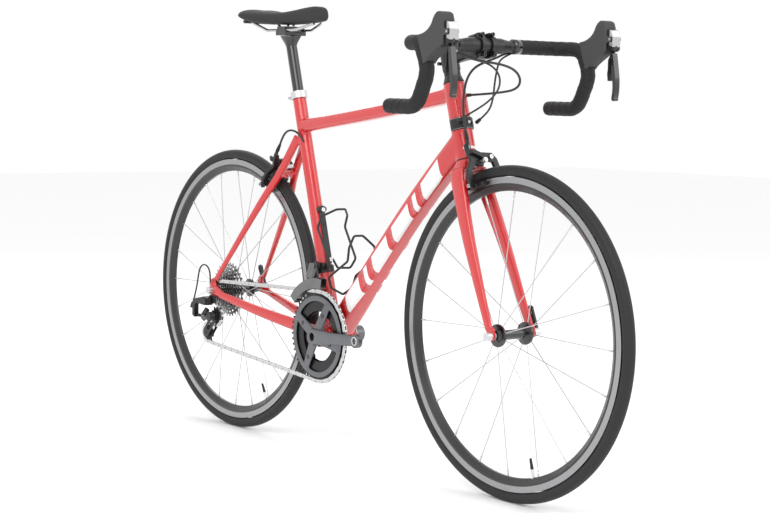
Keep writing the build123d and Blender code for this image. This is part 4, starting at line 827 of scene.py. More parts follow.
def bolt_tree() -> bpy.types.NodeTree:
    """A socket-head bolt on every point, turned along the point's own direction.

    Returns:
        The tree.
    """
    tree = Tree("socket_bolts")
    tree.wanted("Radius", "NodeSocketFloat", 0.0035)
    tree.wanted("Height", "NodeSocketFloat", 0.003)
    tree.wanted("Finish", "NodeSocketMaterial")
    radius, height = tree.entry.outputs["Radius"], tree.entry.outputs["Height"]
    head = tree.node(
        "GeometryNodeMeshCylinder", {"fill_type": "NGON"}, Vertices=24, Radius=radius, Depth=height
    )
    half = tree.node("ShaderNodeMath", {"operation": "MULTIPLY"}, in0=radius, in1=0.5)
    socket = tree.node("GeometryNodeMeshCylinder", {"fill_type": "NGON"}, Vertices=6,
    Radius=half.outputs[0],
                       Depth=height)
    raised = tree.node("ShaderNodeCombineXYZ", Z=tree.node("ShaderNodeMath", {"operation": "MULTIPLY"},
    in0=height,
                                                           in1=0.5).outputs[0])
    hole = tree.node(
        "GeometryNodeTransform", Geometry=socket.outputs["Mesh"], Translation=raised.outputs[0]
    )
    cut = tree.node("GeometryNodeMeshBoolean", {"operation": "DIFFERENCE"}, in0=head.outputs["Mesh"],
                    in1=hole.outputs[0])
    facing = tree.node("FunctionNodeAlignRotationToVector", {"axis": "Z"},
                       Vector=tree.node("GeometryNodeInputNamedAttribute", {"data_type": "FLOAT_VECTOR"},
                                        Name="facing").outputs[0])
    placed = tree.node("GeometryNodeInstanceOnPoints", Points=tree.entry.outputs["Geometry"],
                       Instance=cut.outputs["Mesh"], Rotation=facing.outputs[0])
    return tree.finish(placed.outputs[0])


def nipple_tree() -> bpy.types.NodeTree:
    """A small tapered barrel on every point, turned along the point's own direction.

    Returns:
        The tree.
    """
    tree = Tree("spoke_nipples")
    tree.wanted("Length", "NodeSocketFloat", 0.012)
    tree.wanted("Radius", "NodeSocketFloat", 0.0021)
    tree.wanted("Finish", "NodeSocketMaterial")
    barrel = tree.node("GeometryNodeMeshCone", {"fill_type": "NGON"}, Vertices=10,
                       Radius_Bottom=tree.entry.outputs["Radius"],
                       Radius_Top=tree.node("ShaderNodeMath", {"operation": "MULTIPLY"},
                                            in0=tree.entry.outputs["Radius"], in1=0.7).outputs[0],
                       Depth=tree.entry.outputs["Length"])
    facing = tree.node("FunctionNodeAlignRotationToVector", {"axis": "Z"},
                       Vector=tree.node("GeometryNodeInputNamedAttribute", {"data_type": "FLOAT_VECTOR"},
                                        Name="facing").outputs[0])
    placed = tree.node("GeometryNodeInstanceOnPoints", Points=tree.entry.outputs["Geometry"],
                       Instance=barrel.outputs["Mesh"], Rotation=facing.outputs[0])
    return tree.finish(placed.outputs[0])


def bolted(name: str, places: Sequence[tuple[Vector, Vector]], radius: float, height: float, finish: Finish,
           body: str) -> None:
    """Show a socket-head bolt at each place.

    Args:
        name: The piece's name.
        places: Points and the way each bolt faces.
        radius: The head's radius.
        height: The head's height.
        finish: Its finish.
        body: The body that it moves with.
    """
    piece(name, scattered(name, BOLTS, places, finish, Radius=radius, Height=height), finish, body)


def scattered(name: str, group: bpy.types.NodeTree, places: Sequence[tuple[Vector, Vector]], finish: Finish,
              **sizes: float) -> bpy.types.Mesh:
    """Run a node tree on points that each have a direction.

    Args:
        name: The mesh's name.
        group: The node tree.
        places: Points and the way each faces.
        finish: What the copies are made of.
        sizes: Values for the tree's named inputs.

    Returns:
        One plain mesh.
    """
    mesh = bpy.data.meshes.new(name)
    mesh.from_pydata([tuple(p) for p, _ in places], [], [])
    facing = mesh.attributes.new("facing", "FLOAT_VECTOR", "POINT")
    facing.data.foreach_set("vector", [c for _, d in places for c in d.normalized()])
    holder = placed(name, mesh)
    modifier = holder.modifiers.new("copies", "NODES")
    modifier.node_group = group
    for item in group.interface.items_tree:
        if item.in_out == "INPUT" and item.name in sizes:
            modifier[item.identifier] = sizes[item.name]
        elif item.in_out == "INPUT" and item.name == "Finish":
            modifier[item.identifier] = finish.make()
    return baked(holder)


# ------------------------------------------------------------------------------- cords


@dataclass
class Housing:
    """One cable housing: its route, its size, and what it follows."""

    node: str
    points: tuple[tuple[float, float, float], ...]
    diameter: float
    length: float
    body: str
    crossing: tuple[Vector, Vector] | None = None

    def build(self) -> None:
        """Make the housing on its route, as a curve tied to its body, or as a fixed tube where it has a
        crossing.
        """
        curve = bpy.data.curves.new(self.node + "_line", "CURVE")
        curve.dimensions = "3D"
        spline = curve.splines.new("NURBS")
        spline.points.add(len(self.points) - 1)
        for point, place in zip(spline.points, self.points):
            point.co = (*(c / 1000 for c in place), 1)
        spline.order_u = 3
        spline.use_endpoint_u = True
        spline.resolution_u = 8
        line = placed(self.node + "_skin", curve)
        if self.crossing:
            bpy.context.view_layer.update()
            centre = bpy.data.meshes.new_from_object(
                line.evaluated_get(bpy.context.evaluated_depsgraph_get())
            )
        curve.bevel_depth = self.diameter / 2
        curve.bevel_resolution = 5
        curve.use_fill_caps = True
        curve.materials.append(HOUSING.make())
        made = line
        if self.crossing:
            made = placed(self.node + "_skin", baked(line))
            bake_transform(made)
        else:
            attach(made, self.body)
        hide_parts(self.node)
        LOG.info("%s: %.3f m", self.node, self.length)


FRONT_BRAKE_ROUTE = (
    (388.5, 74.4, 895), (389.5, 60, 892.5), (392, 38, 884), (392, 12, 876), (380, -10, 864), (369, -20,
    842),
    (366, -25, 811), (368, -27, 780), (373.6, -28, 752), (382.8, -28, 721))
REAR_BRAKE_FRONT_ROUTE = (
    (388.3, -74.2, 895), (389, -61, 891), (394, -45, 884), (405, -22, 877), (420, 2, 873), (438, 22, 868),
    (455, 34, 858), (463, 40, 843), (457, 43, 828), (438, 43, 819), (408, 41, 815), (376, 36, 812),
    (348, 29, 810),
    (329, 22.5, 808.5))
RIGHT_GEAR_ROUTE = (
    (383.5, -74, 899), (383, -61, 893), (386, -44, 884), (397, -22, 878), (411, -2, 872), (421, 12, 860),
    (427, 19, 842), (424, 18, 820), (411, 9, 800), (392, -4, 783), (374, -15, 771), (357, -21, 760))
LEFT_GEAR_ROUTE = (
    (394, 74, 893), (397, 60, 888.5), (403, 44, 883), (411, 28, 875), (416, 18, 857), (414, 15, 832),
    (410, 16, 805),
    (399, 19, 784), (381, 22, 770), (359, 24, 758))
REAR_GEAR_ROUTE = (
    (-498, -76, 354.2), (-498.6, -76, 372), (-503.6, -76, 386.1), (-515.6, -76.3, 394.8), (-530.4, -77,
    394.8),
    (-542.4, -77.8, 386.1), (-548, -78.5, 368), (-553, -79, 343), (-562, -79, 319), (-571, -79, 300))
REAR_BRAKE_ROUTE = (
    (-205, -15, 700), (-211.5, -18, 711.3), (-221.2, -22, 720), (-233.4, -25.5, 724.4), (-246.4, -28,
    723.5),
    (-258.8, -29.3, 716.9), (-270.9, -29, 703.4), (-280.1, -28, 689.9), (-290, -28, 676.1))


def housings() -> list[Housing]:
    """Every cable housing of the bicycle.

    Returns:
        The housings, with a span given for those at the head tube.
    """
    upper, lower = Vector((0.395, 0, 0.885)), Vector((0.355, 0, 0.765))
    return [
        Housing("front_brake_housing", FRONT_BRAKE_ROUTE, 0.005, 0.242, "steering"),
        Housing("rear_brake_front_housing", REAR_BRAKE_FRONT_ROUTE, 0.005, 0.302, "frame",
                (Vector((0.40, 0, 0.885)), Vector((0.345, 0, 0.812)))),
        Housing("right_gear_housing", RIGHT_GEAR_ROUTE, 0.004, 0.245, "frame", (upper, lower)),
        Housing("left_gear_housing", LEFT_GEAR_ROUTE, 0.004, 0.197, "frame", (upper, lower)),
        Housing("rear_gear_housing", REAR_GEAR_ROUTE, 0.004, 0.166, "frame"),
        Housing("rear_brake_housing", REAR_BRAKE_ROUTE, 0.005, 0.1185, "frame"),
    ]


# ------------------------------------------------------------------------------- frame and fork


@dataclass
class FrameShell:
    """The painted frame, welded into one skin, and the fittings on it."""

    voxel: float = 0.0023
    passes: int = 9
    face: float = 0.065
    plate: float = 0.006

    def tubes(self) -> bmesh.types.BMesh:
        """All its tubes and dropouts as closed shapes.

        Returns:
            The shapes, overlapping.
        """
        bm = bmesh.new()
        rod(bm, steer(0.369), steer(0.531), 0.022, 64)
        rod(bm, seat(0.010), seat(0.331), 0.018, 64, 0.0156)
        rod(bm, seat(0.331), seat(0.551), 0.0156, 64)
        rod(bm, CRANK_AXLE - LEFT * 0.0432, CRANK_AXLE + LEFT * 0.0432, 0.025, 64)
        front, rear = steer(0.507), seat(0.484)
        tube(bm, [(front, 0.040, 0.034, 3.6), (between(front, rear, 0.45, -0.004), 0.036, 0.029, 3.6),
                  (rear, 0.030, 0.030, 3.4)], 10)
        tube(bm, DOWN_TUBE, 10)
        low, high = CRANK_AXLE + Vector((-0.018, 0.026, 0.002)), REAR_AXLE + Vector((0.029, 0.069, -0.008))
        tube(bm, [(low, 0.016, 0.034, 3), (between(low, high, 0.25, -0.0034, 0.031), 0.015, 0.030, 3),
                  (between(low, high, 0.61, -0.0034, 0.051), 0.014, 0.024, 3), (high, 0.0075, 0.018,
                      2.6)], 8, True)
        top = seat(0.462, -0.012)
        out = (top - REAR_AXLE).normalized()
        back = Vector((-out.z, 0, out.x))
        bridge = REAR_AXLE + out * 0.352
        bend, foot = bridge + Vector((0.004, 0.022, 0)), REAR_AXLE + Vector((0.015, 0.0692, 0.026))
        tube(bm, [(seat(0.462, -0.012, 0.011), 0.013, 0.024, 3), (bend, 0.014, 0.020, 3),
                  (between(bend, foot, 0.28, -0.0036, 0.041), 0.013, 0.018, 3), (foot, 0.0075, 0.014,
                      2.6)], 8, True)
        skin(bm, [ring(bridge + back * s, LEFT, out, 0.040, 0.015, 4) for s in (-0.008, 0.008)])
        shape = [(0.040, -0.017), (0.040, 0.002), (0.016, 0.012), (0.008, 0.032), (-0.008, 0.026),
        (-0.012, 0.002),
                 (-0.008, -0.012), (0.010, -0.014)]
        for y in (self.face, -self.face - self.plate):
            plate(bm, shape, REAR_AXLE, y, self.plate)
        stop = REAR_AXLE + Vector((0.001, -self.face - 0.011, 0.018))
        rod(bm, stop - UPWARD * 0.006, stop, 0.0036, 20)
        rod(bm, stop + Vector((0, 0.007, -0.003)), stop - UPWARD * 0.003, 0.003, 16)
        return bm

    def build(self) -> None:
        """Weld the tubes, paint them, and dress the fittings."""
        mesh = fused("frame_skin", self.tubes(), self.voxel, self.passes)
        piece("frame_skin", mesh, RED_PAINT, "frame",
              ("head_tube", "seat_tube", "top_tube", "down_tube", "rear_stays"))
        dress("frame_hardware", SILVER)
        self.port_cover()
        self.bolts()

    def port_cover(self) -> None:
        """The black cover where the gear cables enter the head tube, with its plugs."""
        bm = bmesh.new()
        rings = []
        for up in (0.4300, 0.4320, 0.4520, 0.4540):
            reach = 0.0255 if 0.431 < up < 0.453 else 0.0246
            arc = []
            for i in range(25):
                angle = math.radians(-100 + 200 * i / 24)
                arc.append(steer(up, reach * math.cos(angle), reach * math.sin(angle)))
            for i in range(25):
                angle = math.radians(100 - 200 * i / 24)
                arc.append(steer(up, 0.0218 * math.cos(angle), 0.0218 * math.sin(angle)))
            rings.append(arc)
        skin(bm, rings)
        for end, before in ((RIGHT_GEAR_ROUTE[-1], RIGHT_GEAR_ROUTE[-2]), (LEFT_GEAR_ROUTE[-1],
        LEFT_GEAR_ROUTE[-2]),
                            (REAR_BRAKE_FRONT_ROUTE[-1], REAR_BRAKE_FRONT_ROUTE[-2])):
            tip, lead = Vector(end) / 1000, Vector(before) / 1000
            along = (lead - tip).normalized()
            rod(bm, tip - along * 0.010, tip + along * 0.003, 0.0042, 20, 0.0034)
        modelled("port_cover", bm, SATIN_BLACK, "frame")

    def bolts(self) -> None:
        """Bolts at the bottle cages, the port and the seat collar."""
        along = (DOWN_TUBE[1][0] - DOWN_TUBE[2][0]).normalized()
        above = along.cross(LEFT)
        foot = DOWN_TUBE[2][0]
        places = [(seat(s, 0.0265), SEAT_FORWARD) for s in (0.283, 0.168)]
        places += [(foot + along * s + above * 0.0320, above) for s in (0.210, 0.096)]
        bolted("bottle_bolts", places, 0.0046, 0.0036, SILVER, "frame")
        small = [(steer(0.442, 0.0262), STEER_FORWARD), (seat(0.557, -0.023, -0.0128), -LEFT)]
        bolted("frame_screws", small, 0.0030, 0.0024, SILVER, "frame")


@dataclass
class Fork:
    """The fork's crown, legs and tips in one painted skin, with the black headset above."""

    voxel: float = 0.0018
    passes: int = 8

    def build(self) -> None:
        """Melt the crown and legs, and keep the steerer hidden inside."""
        bm = bmesh.new()
        skin(bm, [ring(steer(0.347), LEFT, STEER_FORWARD, 0.066, 0.042, 4, 48),
                  ring(steer(0.356), LEFT, STEER_FORWARD, 0.058, 0.045, 3.2, 48),
                  ring(steer(0.3684), LEFT, STEER_FORWARD, 0.045, 0.044, 2.1, 48)])
        tube(bm, [(steer(0.350, 0, 0.024), 0.022, 0.042, 3.4), (steer(0.326, 0.001, 0.031), 0.018,
        0.040, 3.4),
                  (steer(0.200, 0.017, 0.045), 0.015, 0.031, 3), (steer(0.014, 0.042, 0.054), 0.009,
                  0.020, 2.6)],
             8, True)
        shape = [
            (-0.014, 0.022), (0.008, 0.016), (0.010, 0), (0.007, -0.009), (-0.007, -0.009), (-0.012, 0.002)
        ]
        for y in (0.050, -0.056):
            plate(bm, shape, FRONT_AXLE, y, 0.006)
        piece("fork_skin", fused("fork_skin", bm, self.voxel, self.passes), RED_PAINT, "steering",
              ("fork",))
        dress("headset", SATIN_BLACK)


# ------------------------------------------------------------------------------- cockpit


@dataclass
class Cockpit:
    """Bar, tape, stem, hoods and levers."""

    stem_rise: float = math.radians(10.5)
    tape_radius: float = 0.0150
    wrap_pitch: float = 0.021
    wrap_step: float = 0.0011
    width: float = 0.424
    reach: float = 0.079
    drop: float = 0.124

    def centre(self) -> Vector:
        """The middle of the bar's clamp."""
        return steer(0.588) + self.ahead() * 0.110

    def ahead(self) -> Vector:
        """The direction in which the stem reaches out."""
        return Vector((math.cos(self.stem_rise), 0, math.sin(self.stem_rise)))

    def line(self, hand: int, start: float) -> list[Vector]:
        """Points along one side of the bar from a distance out, evenly spaced.

        Args:
            hand: 1 for the left side, -1 for the right.
            start: How far out the line starts.

        Returns:
            The points.
        """
        c = self.centre()
        half = self.width / 2
        front = c.x + self.reach
        corners = [Vector((c.x, start, c.z)), Vector((c.x, half - 0.018, c.z)), Vector((c.x + 0.062,
        half, c.z - 0.002)),
                   Vector((front + 0.006, half, c.z - 0.055)), Vector((c.x + 0.052, half, c.z - self.drop)),
                   Vector((c.x - 0.032, half, c.z - self.drop + 0.001))]
        bends = (0.034, 0.036, 0.046, 0.040)
        points = [corners[0]]
        for before, corner, after, bend in zip(corners, corners[1:], corners[2:], bends):
            first, second = (corner - before).normalized(), (after - corner).normalized()
            turn = first.angle(second)
            reach = bend * math.tan(turn / 2)
            start_arc, end_arc = corner - first * reach, corner + second * reach
            for i in range(15):
                t = i / 14
                points.append(start_arc.lerp(corner, t).lerp(corner.lerp(end_arc, t), t))
        points.append(corners[-1])
        dense = [points[0]]
        for point in points[1:]:
            gap = (point - dense[-1]).length
            steps = max(1, round(gap / 0.0012))
            base = dense[-1].copy()
            dense += [base.lerp(point, (i + 1) / steps) for i in range(steps)]
        return [Vector((p.x, p.y * hand, p.z)) for p in dense]

    def tape(self) -> None:
        """Padded tape wound in overlapping turns, with end plugs and finishing bands."""
        for hand, side in ((1, "left"), (-1, "right")):
            points = self.line(hand, 0.075)
            bm = bmesh.new()
            rings = []
            travelled = 0.0
            upright = UPWARD
            count = 40
            for i, point in enumerate(points):
                if i:
                    travelled += (point - points[i - 1]).length
                along = (points[min(i + 1, len(points) - 1)] - points[max(i - 1, 0)]).normalized()
                across = along.cross(upright).normalized()
                upright = across.cross(along).normalized()
                row = []
                for k in range(count):
                    angle = 2 * math.pi * k / count
                    phase = (travelled / self.wrap_pitch + hand * angle / (2 * math.pi)) % 1.0
                    lift = self.wrap_step * (min(phase * 9, 1.0) - 0.55 * phase)
                    radius = self.tape_radius - 0.0009 + lift
                    row.append(
                        point + across * math.cos(angle) * radius + upright * math.sin(angle) * radius
                    )
                rings.append(row)
            skin(bm, rings)
            modelled("tape_" + side, bm, TAPE, "steering", ("bar_tape",) if hand == 1 else ())
            ends = bmesh.new()
            tip = points[-1]
            out = (points[-1] - points[-6]).normalized()
            rod(ends, tip - out * 0.002, tip + out * 0.0045, 0.0145, 40)
            rod(ends, tip + out * 0.0045, tip + out * 0.0060, 0.0145, 40, 0.0115)
            first = points[0]
            rod(ends, first - LEFT * hand * 0.0004, first + LEFT * hand * 0.016, 0.0153, 40)
            modelled("tape_ends_" + side, ends, GLOSS_BLACK, "steering")

    def build(self) -> None:
        """Dress the bar and stem, wind the tape, and mould the hoods."""
        dress("handlebar", SATIN_BLACK)
        moulded("stem_body", "stem", 0.0011, 7, SATIN_BLACK, "steering")
        dress("stem_faceplate", SATIN_BLACK)
        c = self.centre()
        ahead = self.ahead()
        up = Vector((-ahead.z, 0, ahead.x))
        places = [(c + up * h + ahead * 0.0148 + LEFT * y, ahead) for h in (-0.0205,
        0.0205) for y in (-0.0135, 0.0135)]
        bolted("stem_bolts", places, 0.0040, 0.0036, SATIN_BLACK, "steering")
        bolted("top_bolt", [(steer(0.6125), STEER_UP)], 0.0048, 0.0030, SILVER, "steering")
        self.tape()
        moulded("hood_skin", "hoods", 0.0013, 14, HOOD_RUBBER, "steering")
        for side in ("left", "right"):
            moulded("lever_cap_" + side, "lever_head_" + side, 0.0006, 5, LEVER_CAP, side + "_lever")
            moulded("blade_" + side, "brake_lever_" + side, 0.0006, 8, GLOSS_BLACK, side + "_blade")
            moulded("paddle_" + side, "shift_paddle_" + side, 0.0005, 5, SATIN_BLACK, side + "_paddle")


# ------------------------------------------------------------------------------- saddle


@dataclass
class Saddle:
    """A padded saddle on steel rails, over a two-bolt seatpost."""

    nose: float = -0.147
    stations: tuple[tuple[float, float, float, float], ...] = (
        (0.000, 0.004, 0.990, 0.978), (0.004, 0.011, 0.997, 0.973), (0.012, 0.0155, 1.002, 0.970),
        (0.034, 0.019, 1.005, 0.968), (0.070, 0.0205, 1.0025, 0.966), (0.110, 0.0245, 0.998, 0.9655),
        (0.140, 0.031, 0.995, 0.9655), (0.165, 0.0395, 0.9945, 0.966), (0.190, 0.051, 0.996, 0.967),
        (0.215, 0.063, 0.9985, 0.969), (0.240, 0.069, 1.002, 0.973), (0.256, 0.0665, 1.003, 0.978),
        (0.265, 0.059, 1.002, 0.984), (0.270, 0.048, 0.999, 0.989))

    def section(self, x: float, half: float, top: float, low: float) -> list[Vector]:
        """One closed cross-section: a crowned top with a shallow channel, and a hollow base.

        Args:
            x: Its place along the bicycle.
            half: Half its width.
            top: The height of its crown.
            low: The height of its edge.

        Returns:
            The points in order.
        """
        points = []
        count = 48
        for i in range(count):
            angle = 2 * math.pi * i / count
            c, s = math.cos(angle), math.sin(angle)
            y = math.copysign(abs(c) ** 0.72, c) * half
            share = abs(y) / half
            if s >= 0:
                z = low + (top - low) * (0.30 + 0.70 * (1 - share ** 3.2) ** 0.5)
                z -= 0.0022 * math.exp(-((y / 0.007) ** 2)) * min(1.0, half / 0.03)
            else:
                z = low + (top - low) * (0.30 * share ** 6)
            points.append(Vector((x, y, z)))
        return points

    def build(self) -> None:
        """Shape the padding and its base, then the rails and post."""
        knots = [list(s) for s in self.stations]
        rows = smooth_values(knots, 4)
        bm = bmesh.new()
        skin(bm, [self.section(self.nose - r[0], r[1], r[2], r[3]) for r in rows])
        body = placed("saddle_pad", mesh_of("saddle_pad", bm))
        calm = body.modifiers.new("calm", "SMOOTH")
        calm.factor = 0.5
        calm.iterations = 2
        finer = body.modifiers.new("finer", "SUBSURF")
        finer.levels = finer.render_levels = 1
        pad = piece("saddle_pad", baked(body), SADDLE_SKIN, "saddle", ("saddle_cover",))
        dress("saddle_rails", CHROME)
        moulded("post_skin", "seatpost", 0.0011, 4, GLOSS_BLACK, "seatpost")
        head = seat(0.688)
        places = [(Vector((head.x + s * 0.011, 0, 0.9605)), UPWARD) for s in (-1, 1)]
        bolted("post_bolts", places, 0.0042, 0.0035, CHROME, "seatpost")
        bridge = bmesh.new()
        skin(bridge, [ring(Vector((self.nose - 0.262, 0, 0.974)) + LEFT * y, Vector((1, 0, 0)), UPWARD,
        0.012, 0.008,
                           2.4, 16) for y in (-0.044, 0.044)])
        modelled("saddle_base", bridge, SATIN_BLACK, "saddle")


# ------------------------------------------------------------------------------- wheels


def lathe(bm: bmesh.types.BMesh, profile: Sequence[tuple[float, float]], centre: Vector,
    segments: int) -> None:
    """Turn a closed profile of radius and side offset about an axle, with a map round it and across it.

    Args:
        bm: The shape that is being built.
        profile: Radius and side offset of each point.
        centre: A point on the axle.
        segments: How many steps go round.
    """
    layer = bm.loops.layers.uv.new("UVMap")
    rows = []
    for s in range(segments):
        angle = 2 * math.pi * s / segments
        rows.append([bm.verts.new(centre + Vector((r * math.cos(angle), y,
            r * math.sin(angle)))) for r, y in profile])
    count = len(profile)
    for s in range(segments):
        for k in range(count):
            face = bm.faces.new((rows[s][k], rows[s][(k + 1) % count],
            rows[(s + 1) % segments][(k + 1) % count],
                                 rows[(s + 1) % segments][k]))
            corners = ((s, k), (s, k + 1), (s + 1, k + 1), (s + 1, k))
            for loop, (u, v) in zip(face.loops, corners):
                loop[layer].uv = (u / segments, v / count)


@dataclass
class Wheel:
    """A tyre, rim, hub and spokes about one axle."""

    name: str
    body: str
    axle: Vector
    sides: tuple[tuple[float, float, int, float, float], ...]
    valve_angle: float
    tyre_radius: float = 0.3235
    tyre_half: float = 0.0125
    rim_seat: float = 0.2846
    segments: int = 288

    def tyre(self) -> None:
        """A casing with a crown a little thicker than its sides, and a bead line."""
        profile = []
        steps = 40
        for i in range(steps + 1):
            angle = math.radians(-142 + 284 * i / steps)
            radius = self.tyre_half - 0.0004 * (abs(math.degrees(angle)) > 62)
            profile.append((self.tyre_radius + radius * math.cos(angle), radius * math.sin(angle)))
        closing = [(self.tyre_radius + 0.0104 * math.cos(a), 0.0104 * math.sin(a))
                   for a in (math.radians(142 - 284 * i / 12) for i in range(13))]
        bm = bmesh.new()
        lathe(bm, profile + closing, self.axle, self.segments)
        modelled(self.name + "_tyre_skin", bm, TYRE, self.body, (self.name + "_tyre",))

    def nipples(self) -> None:
        """A barrel where each spoke meets the rim."""
        places = []
        for flange, offset, count, lead, turn in self.sides:
            for index in range(count):
                angle = 2 * math.pi * (index + turn) / count
                start_angle = angle + math.radians(lead if index % 2 else -lead)
                start = self.axle + Vector(
                    (flange * math.cos(start_angle), offset, flange * math.sin(start_angle))
                )
                end = self.axle + Vector(
                    (self.rim_seat * math.cos(angle), 0, self.rim_seat * math.sin(angle))
                )
                out = (end - start).normalized()
                places.append((end - out * 0.0055, out * -1))
        mesh = scattered(self.name + "_nipples", NIPPLES, places, SILVER, Length=0.013, Radius=0.0022)
        piece(self.name + "_nipples", mesh, SILVER, self.body)

    def valve(self) -> None:
        """A long valve with its nut and cap."""
        out = Vector((math.cos(self.valve_angle), 0, math.sin(self.valve_angle)))
        seat_place = self.axle + out * 0.2865
        stem = bmesh.new()
        rod(stem, seat_place, seat_place - out * 0.020, 0.0030, 20)
        rod(stem, seat_place, seat_place - out * 0.0030, 0.0050, 6)
        modelled(self.name + "_valve", stem, SILVER, self.body, smooth=False)
        cap = bmesh.new()
        rod(cap, seat_place - out * 0.018, seat_place - out * 0.040, 0.0034, 20, 0.0024)
        modelled(self.name + "_valve_cap", cap, MATT_BLACK, self.body)

    def build(self) -> None:
        """Make the tyre and its details, and dress the rim, hub and spokes."""
        self.tyre()
        self.nipples()
        self.valve()
        dress(self.name + "_rim", BrakeTrack(self.name + "_rim_black", (0.012, 0.012, 0.013), 0.3, 0.0, 0.3,
                                             centre=tuple(self.axle), grain_depth=0.00003))
        dress(self.name + "_hub", GLOSS_BLACK)
        dress(self.name + "_spokes", CHROME)
        dress(self.name + "_axle", SILVER)
        lever = self.name + "_quick_lever"
        moulded(lever + "_skin", lever, 0.0006, 6, SATIN_BLACK, lever)


# ------------------------------------------------------------------------------- brakes and drive


@dataclass
class Caliper:
    """A dual-pivot caliper: two forged arms, shoes, bolts and the bare wire."""

    name: str
    body: str
    origin: Vector
    up: Vector
    out: Vector

    def at(self, side: float, height: float, forward: float) -> Vector:
        """A point beside, above and in front of the caliper's bolt."""
        return self.origin + LEFT * side + self.up * height + self.out * forward

    def build(self) -> None:
        """Forge the arms and add the fasteners and the wire."""
        n = self.name
        dress(n + "_brake_mount", SILVER)
        for arm in ("cable", "pivot"):
            node = f"{n}_brake_{arm}_arm"
            moulded(node + "_skin", node, 0.0009, 5, SATIN_BLACK, f"{n}_{arm}_arm")
        places = [(self.at(0, 0, 0.0340), self.out), (self.at(0.019, 0.007, 0.0305), self.out)]
        bolted(n + "_brake_bolts", places, 0.0046, 0.004, CHROME, self.body)
        wire = bmesh.new()
        rod(wire, self.at(-0.028, 0.046, 0.020), self.at(-0.028, 0.0235, 0.0245), 0.0008, 10)
        modelled(n + "_brake_wire", wire, CHROME, f"{n}_cable_arm")
        boot = bmesh.new()
        rings = []
        for i in range(9):
            radius = 0.0044 - 0.0002 * i + (0.0004 if i % 2 else 0)
            height = 0.0465 + 0.0022 * i
            rings.append(
                ring(self.at(-0.028, height, 0.020), LEFT, self.out, radius * 2, radius * 2, 2, 24)
            )
        skin(boot, rings)
        modelled(n + "_brake_boot", boot, MATT_BLACK, f"{n}_cable_arm")
        for arm, hand in (("cable", -1), ("pivot", 1)):
            bolted(f"{n}_{arm}_side_bolt", [(self.at(hand * 0.0405, -0.049, 0.016), LEFT * hand)],
            0.0040, 0.003,
                   CHROME, f"{n}_{arm}_arm")


@dataclass
class Drive:
    """Cranks, rings, cassette, chain and both derailleurs."""

    crank_turn: float = math.radians(3.5)
    eye: float = 0.1725

    def build(self) -> None:
        """Dress the toothed parts and mould the forged ones."""
        dress("chain", CHAIN_STEEL)
        dress("cassette", SPROCKET_STEEL)
        dress("chainrings", RING_BLACK)
        for side in ("right", "left"):
            node = "crank_arm_" + side
            moulded(node + "_skin", node, 0.0013, 6, GRAPHITE, "crank")
        along = Vector((math.cos(self.crank_turn), 0, math.sin(self.crank_turn)))
        for hand, side in ((-1, "right"), (1, "left")):
            bush = bmesh.new()
            place = CRANK_AXLE - along * hand * self.eye
            profile = [
                (0.0072, 0.0640), (0.0072, 0.0764), (0.0092, 0.0764), (0.0096, 0.0758), (0.0096, 0.0640)
            ]
            lathe(bush, [(r, y * hand) for r, y in profile], place, 40)
            modelled("pedal_eye_" + side, bush, SILVER, "crank", smooth=False)
        bolts = []
        for turn in (-16, 58, 148, 238):
            angle = self.crank_turn + math.radians(turn)
            bolts.append(
                (CRANK_AXLE + Vector((0.055 * math.cos(angle), -0.0538, 0.055 * math.sin(angle))), -LEFT)
            )
        bolted("ring_bolts", bolts, 0.0050, 0.0030, SATIN_BLACK, "crank")
        dress("rear_derailleur_base", SATIN_BLACK)
        for node, body in (("rear_derailleur_link", "derailleur_link"),
                           ("rear_derailleur_knuckle", "derailleur_knuckle")):
            moulded(node + "_skin", node, 0.0006, 5, SATIN_BLACK, body)
        dress("rear_derailleur_cage", SATIN_BLACK)
        dress("guide_pulley", MATT_BLACK)
        dress("tension_pulley", MATT_BLACK)
        dress("front_derailleur_base", SATIN_BLACK)
        dress("front_derailleur_cage", GUIDE_STEEL)
        dress("bottle_cages", SATIN_BLACK)


# ------------------------------------------------------------------------------- studio


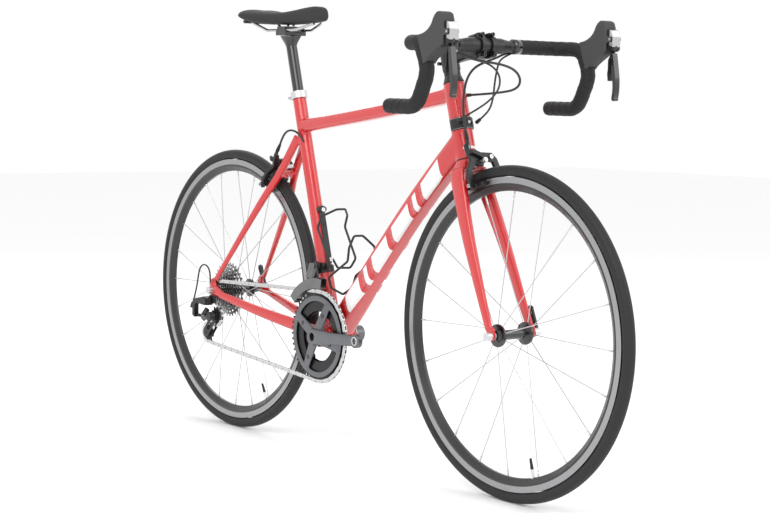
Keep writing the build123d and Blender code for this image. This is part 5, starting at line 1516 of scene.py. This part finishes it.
@dataclass
class Studio:
    """The camera, a pale floor and soft light."""

    eye: tuple[float, float, float] = (3.1131, -2.3517, 0.7866)
    yaw: float = 142.164
    pitch: float = -4.883
    roll: float = 0.984
    lens: float = 83.24

    def camera(self) -> None:
        """Stand the camera where it sees the bicycle from its front right."""
        yaw, pitch, roll = (math.radians(a) for a in (self.yaw, self.pitch, self.roll))
        ahead = Vector((math.cos(pitch) * math.cos(yaw), math.cos(pitch) * math.sin(yaw), math.sin(pitch)))
        right = ahead.cross(UPWARD).normalized()
        up = right.cross(ahead)
        turned_right = right * math.cos(roll) + up * math.sin(roll)
        turned_up = right * -math.sin(roll) + up * math.cos(roll)
        data = bpy.data.cameras.new("camera")
        data.lens = self.lens
        data.sensor_width = 36.0
        data.clip_end = 60.0
        view = bpy.data.objects.new("camera", data)
        view.matrix_world = Matrix((
            (turned_right.x, turned_up.x, -ahead.x, self.eye[0]), (turned_right.y, turned_up.y,
            -ahead.y, self.eye[1]),
            (turned_right.z, turned_up.z, -ahead.z, self.eye[2]), (0, 0, 0, 1)))
        bpy.context.scene.collection.objects.link(view)
        bpy.context.scene.camera = view

    def light(self, name: str, place: tuple[float, float, float], size: float, power: float) -> None:
        """One soft rectangular light aimed at the bicycle's middle.

        Args:
            name: The light's name.
            place: Where it stands.
            size: How wide it is.
            power: How strong it is.
        """
        data = bpy.data.lights.new(name, "AREA")
        data.shape = "RECTANGLE"
        data.size = data.size_y = size
        data.energy = power
        lamp = bpy.data.objects.new(name, data)
        lamp.location = place
        lamp.rotation_euler = (Vector((0, 0, 0.5)) - Vector(place)).to_track_quat("-Z", "Y").to_euler()
        bpy.context.scene.collection.objects.link(lamp)

    def floor(self) -> None:
        """A wide pale floor."""
        bm = bmesh.new()
        half = 14.0
        bm.faces.new(
            [bm.verts.new((x * half, y * half, 0)) for x, y in ((-1, -1), (1, -1), (1, 1), (-1, 1))]
        )
        mesh = bpy.data.meshes.new("floor")
        bm.to_mesh(mesh)
        bm.free()
        ground = placed("floor", mesh)
        bench = Bench("pale_floor")
        bench.set("Base Color", bench.mix(bench.noise(3.0), (0.94, 0.94, 0.94), (0.96, 0.96, 0.96)))
        bench.set("Roughness", 0.9)
        mesh.materials.append(bench.material)

    def build(self) -> None:
        """Set the studio."""
        world = bpy.data.worlds.new("studio")
        world.use_nodes = True
        world.node_tree.nodes["Background"].inputs["Color"].default_value = (1, 1, 1, 1)
        world.node_tree.nodes["Background"].inputs["Strength"].default_value = 1.0
        bpy.context.scene.world = world
        self.camera()
        self.floor()
        self.light("key", (2.2, -3.0, 3.4), 2.6, 70)
        self.light("fill", (3.2, 2.2, 2.6), 2.6, 30)
        self.light("back", (-3.0, 1.5, 3.0), 2.4, 30)
        bpy.context.scene.view_settings.view_transform = "Standard"


BOLTS = bolt_tree()
NIPPLES = nipple_tree()


def main() -> None:
    """Build the bicycle, camera and cords first."""
    logging.basicConfig(level=logging.INFO, format="%(name)s %(message)s")
    Studio().build()
    for housing in housings():
        housing.build()
    FrameShell().build()
    Fork().build()
    Cockpit().build()
    Saddle().build()
    Wheel("front", "front_wheel", FRONT_AXLE, ((0.0234, 0.036, 10, 0, 0), (0.0234, -0.036, 10, 0, 0.5)),
          math.radians(-75)).build()
    Wheel("rear", "rear_wheel", REAR_AXLE, ((0.0224, 0.038, 12, 0, 0), (0.0253, -0.017, 12, 62, 0.5)),
          math.radians(-62)).build()
    out = (seat(0.462, -0.012) - REAR_AXLE).normalized()
    back = Vector((-out.z, 0, out.x))
    Caliper("front", "steering", steer(0.355, 0.0224), STEER_UP, STEER_FORWARD).build()
    Caliper("rear", "frame", REAR_AXLE + out * 0.352 + back * 0.0084, out, back).build()
    Drive().build()


if __name__ == "__main__":
    main()
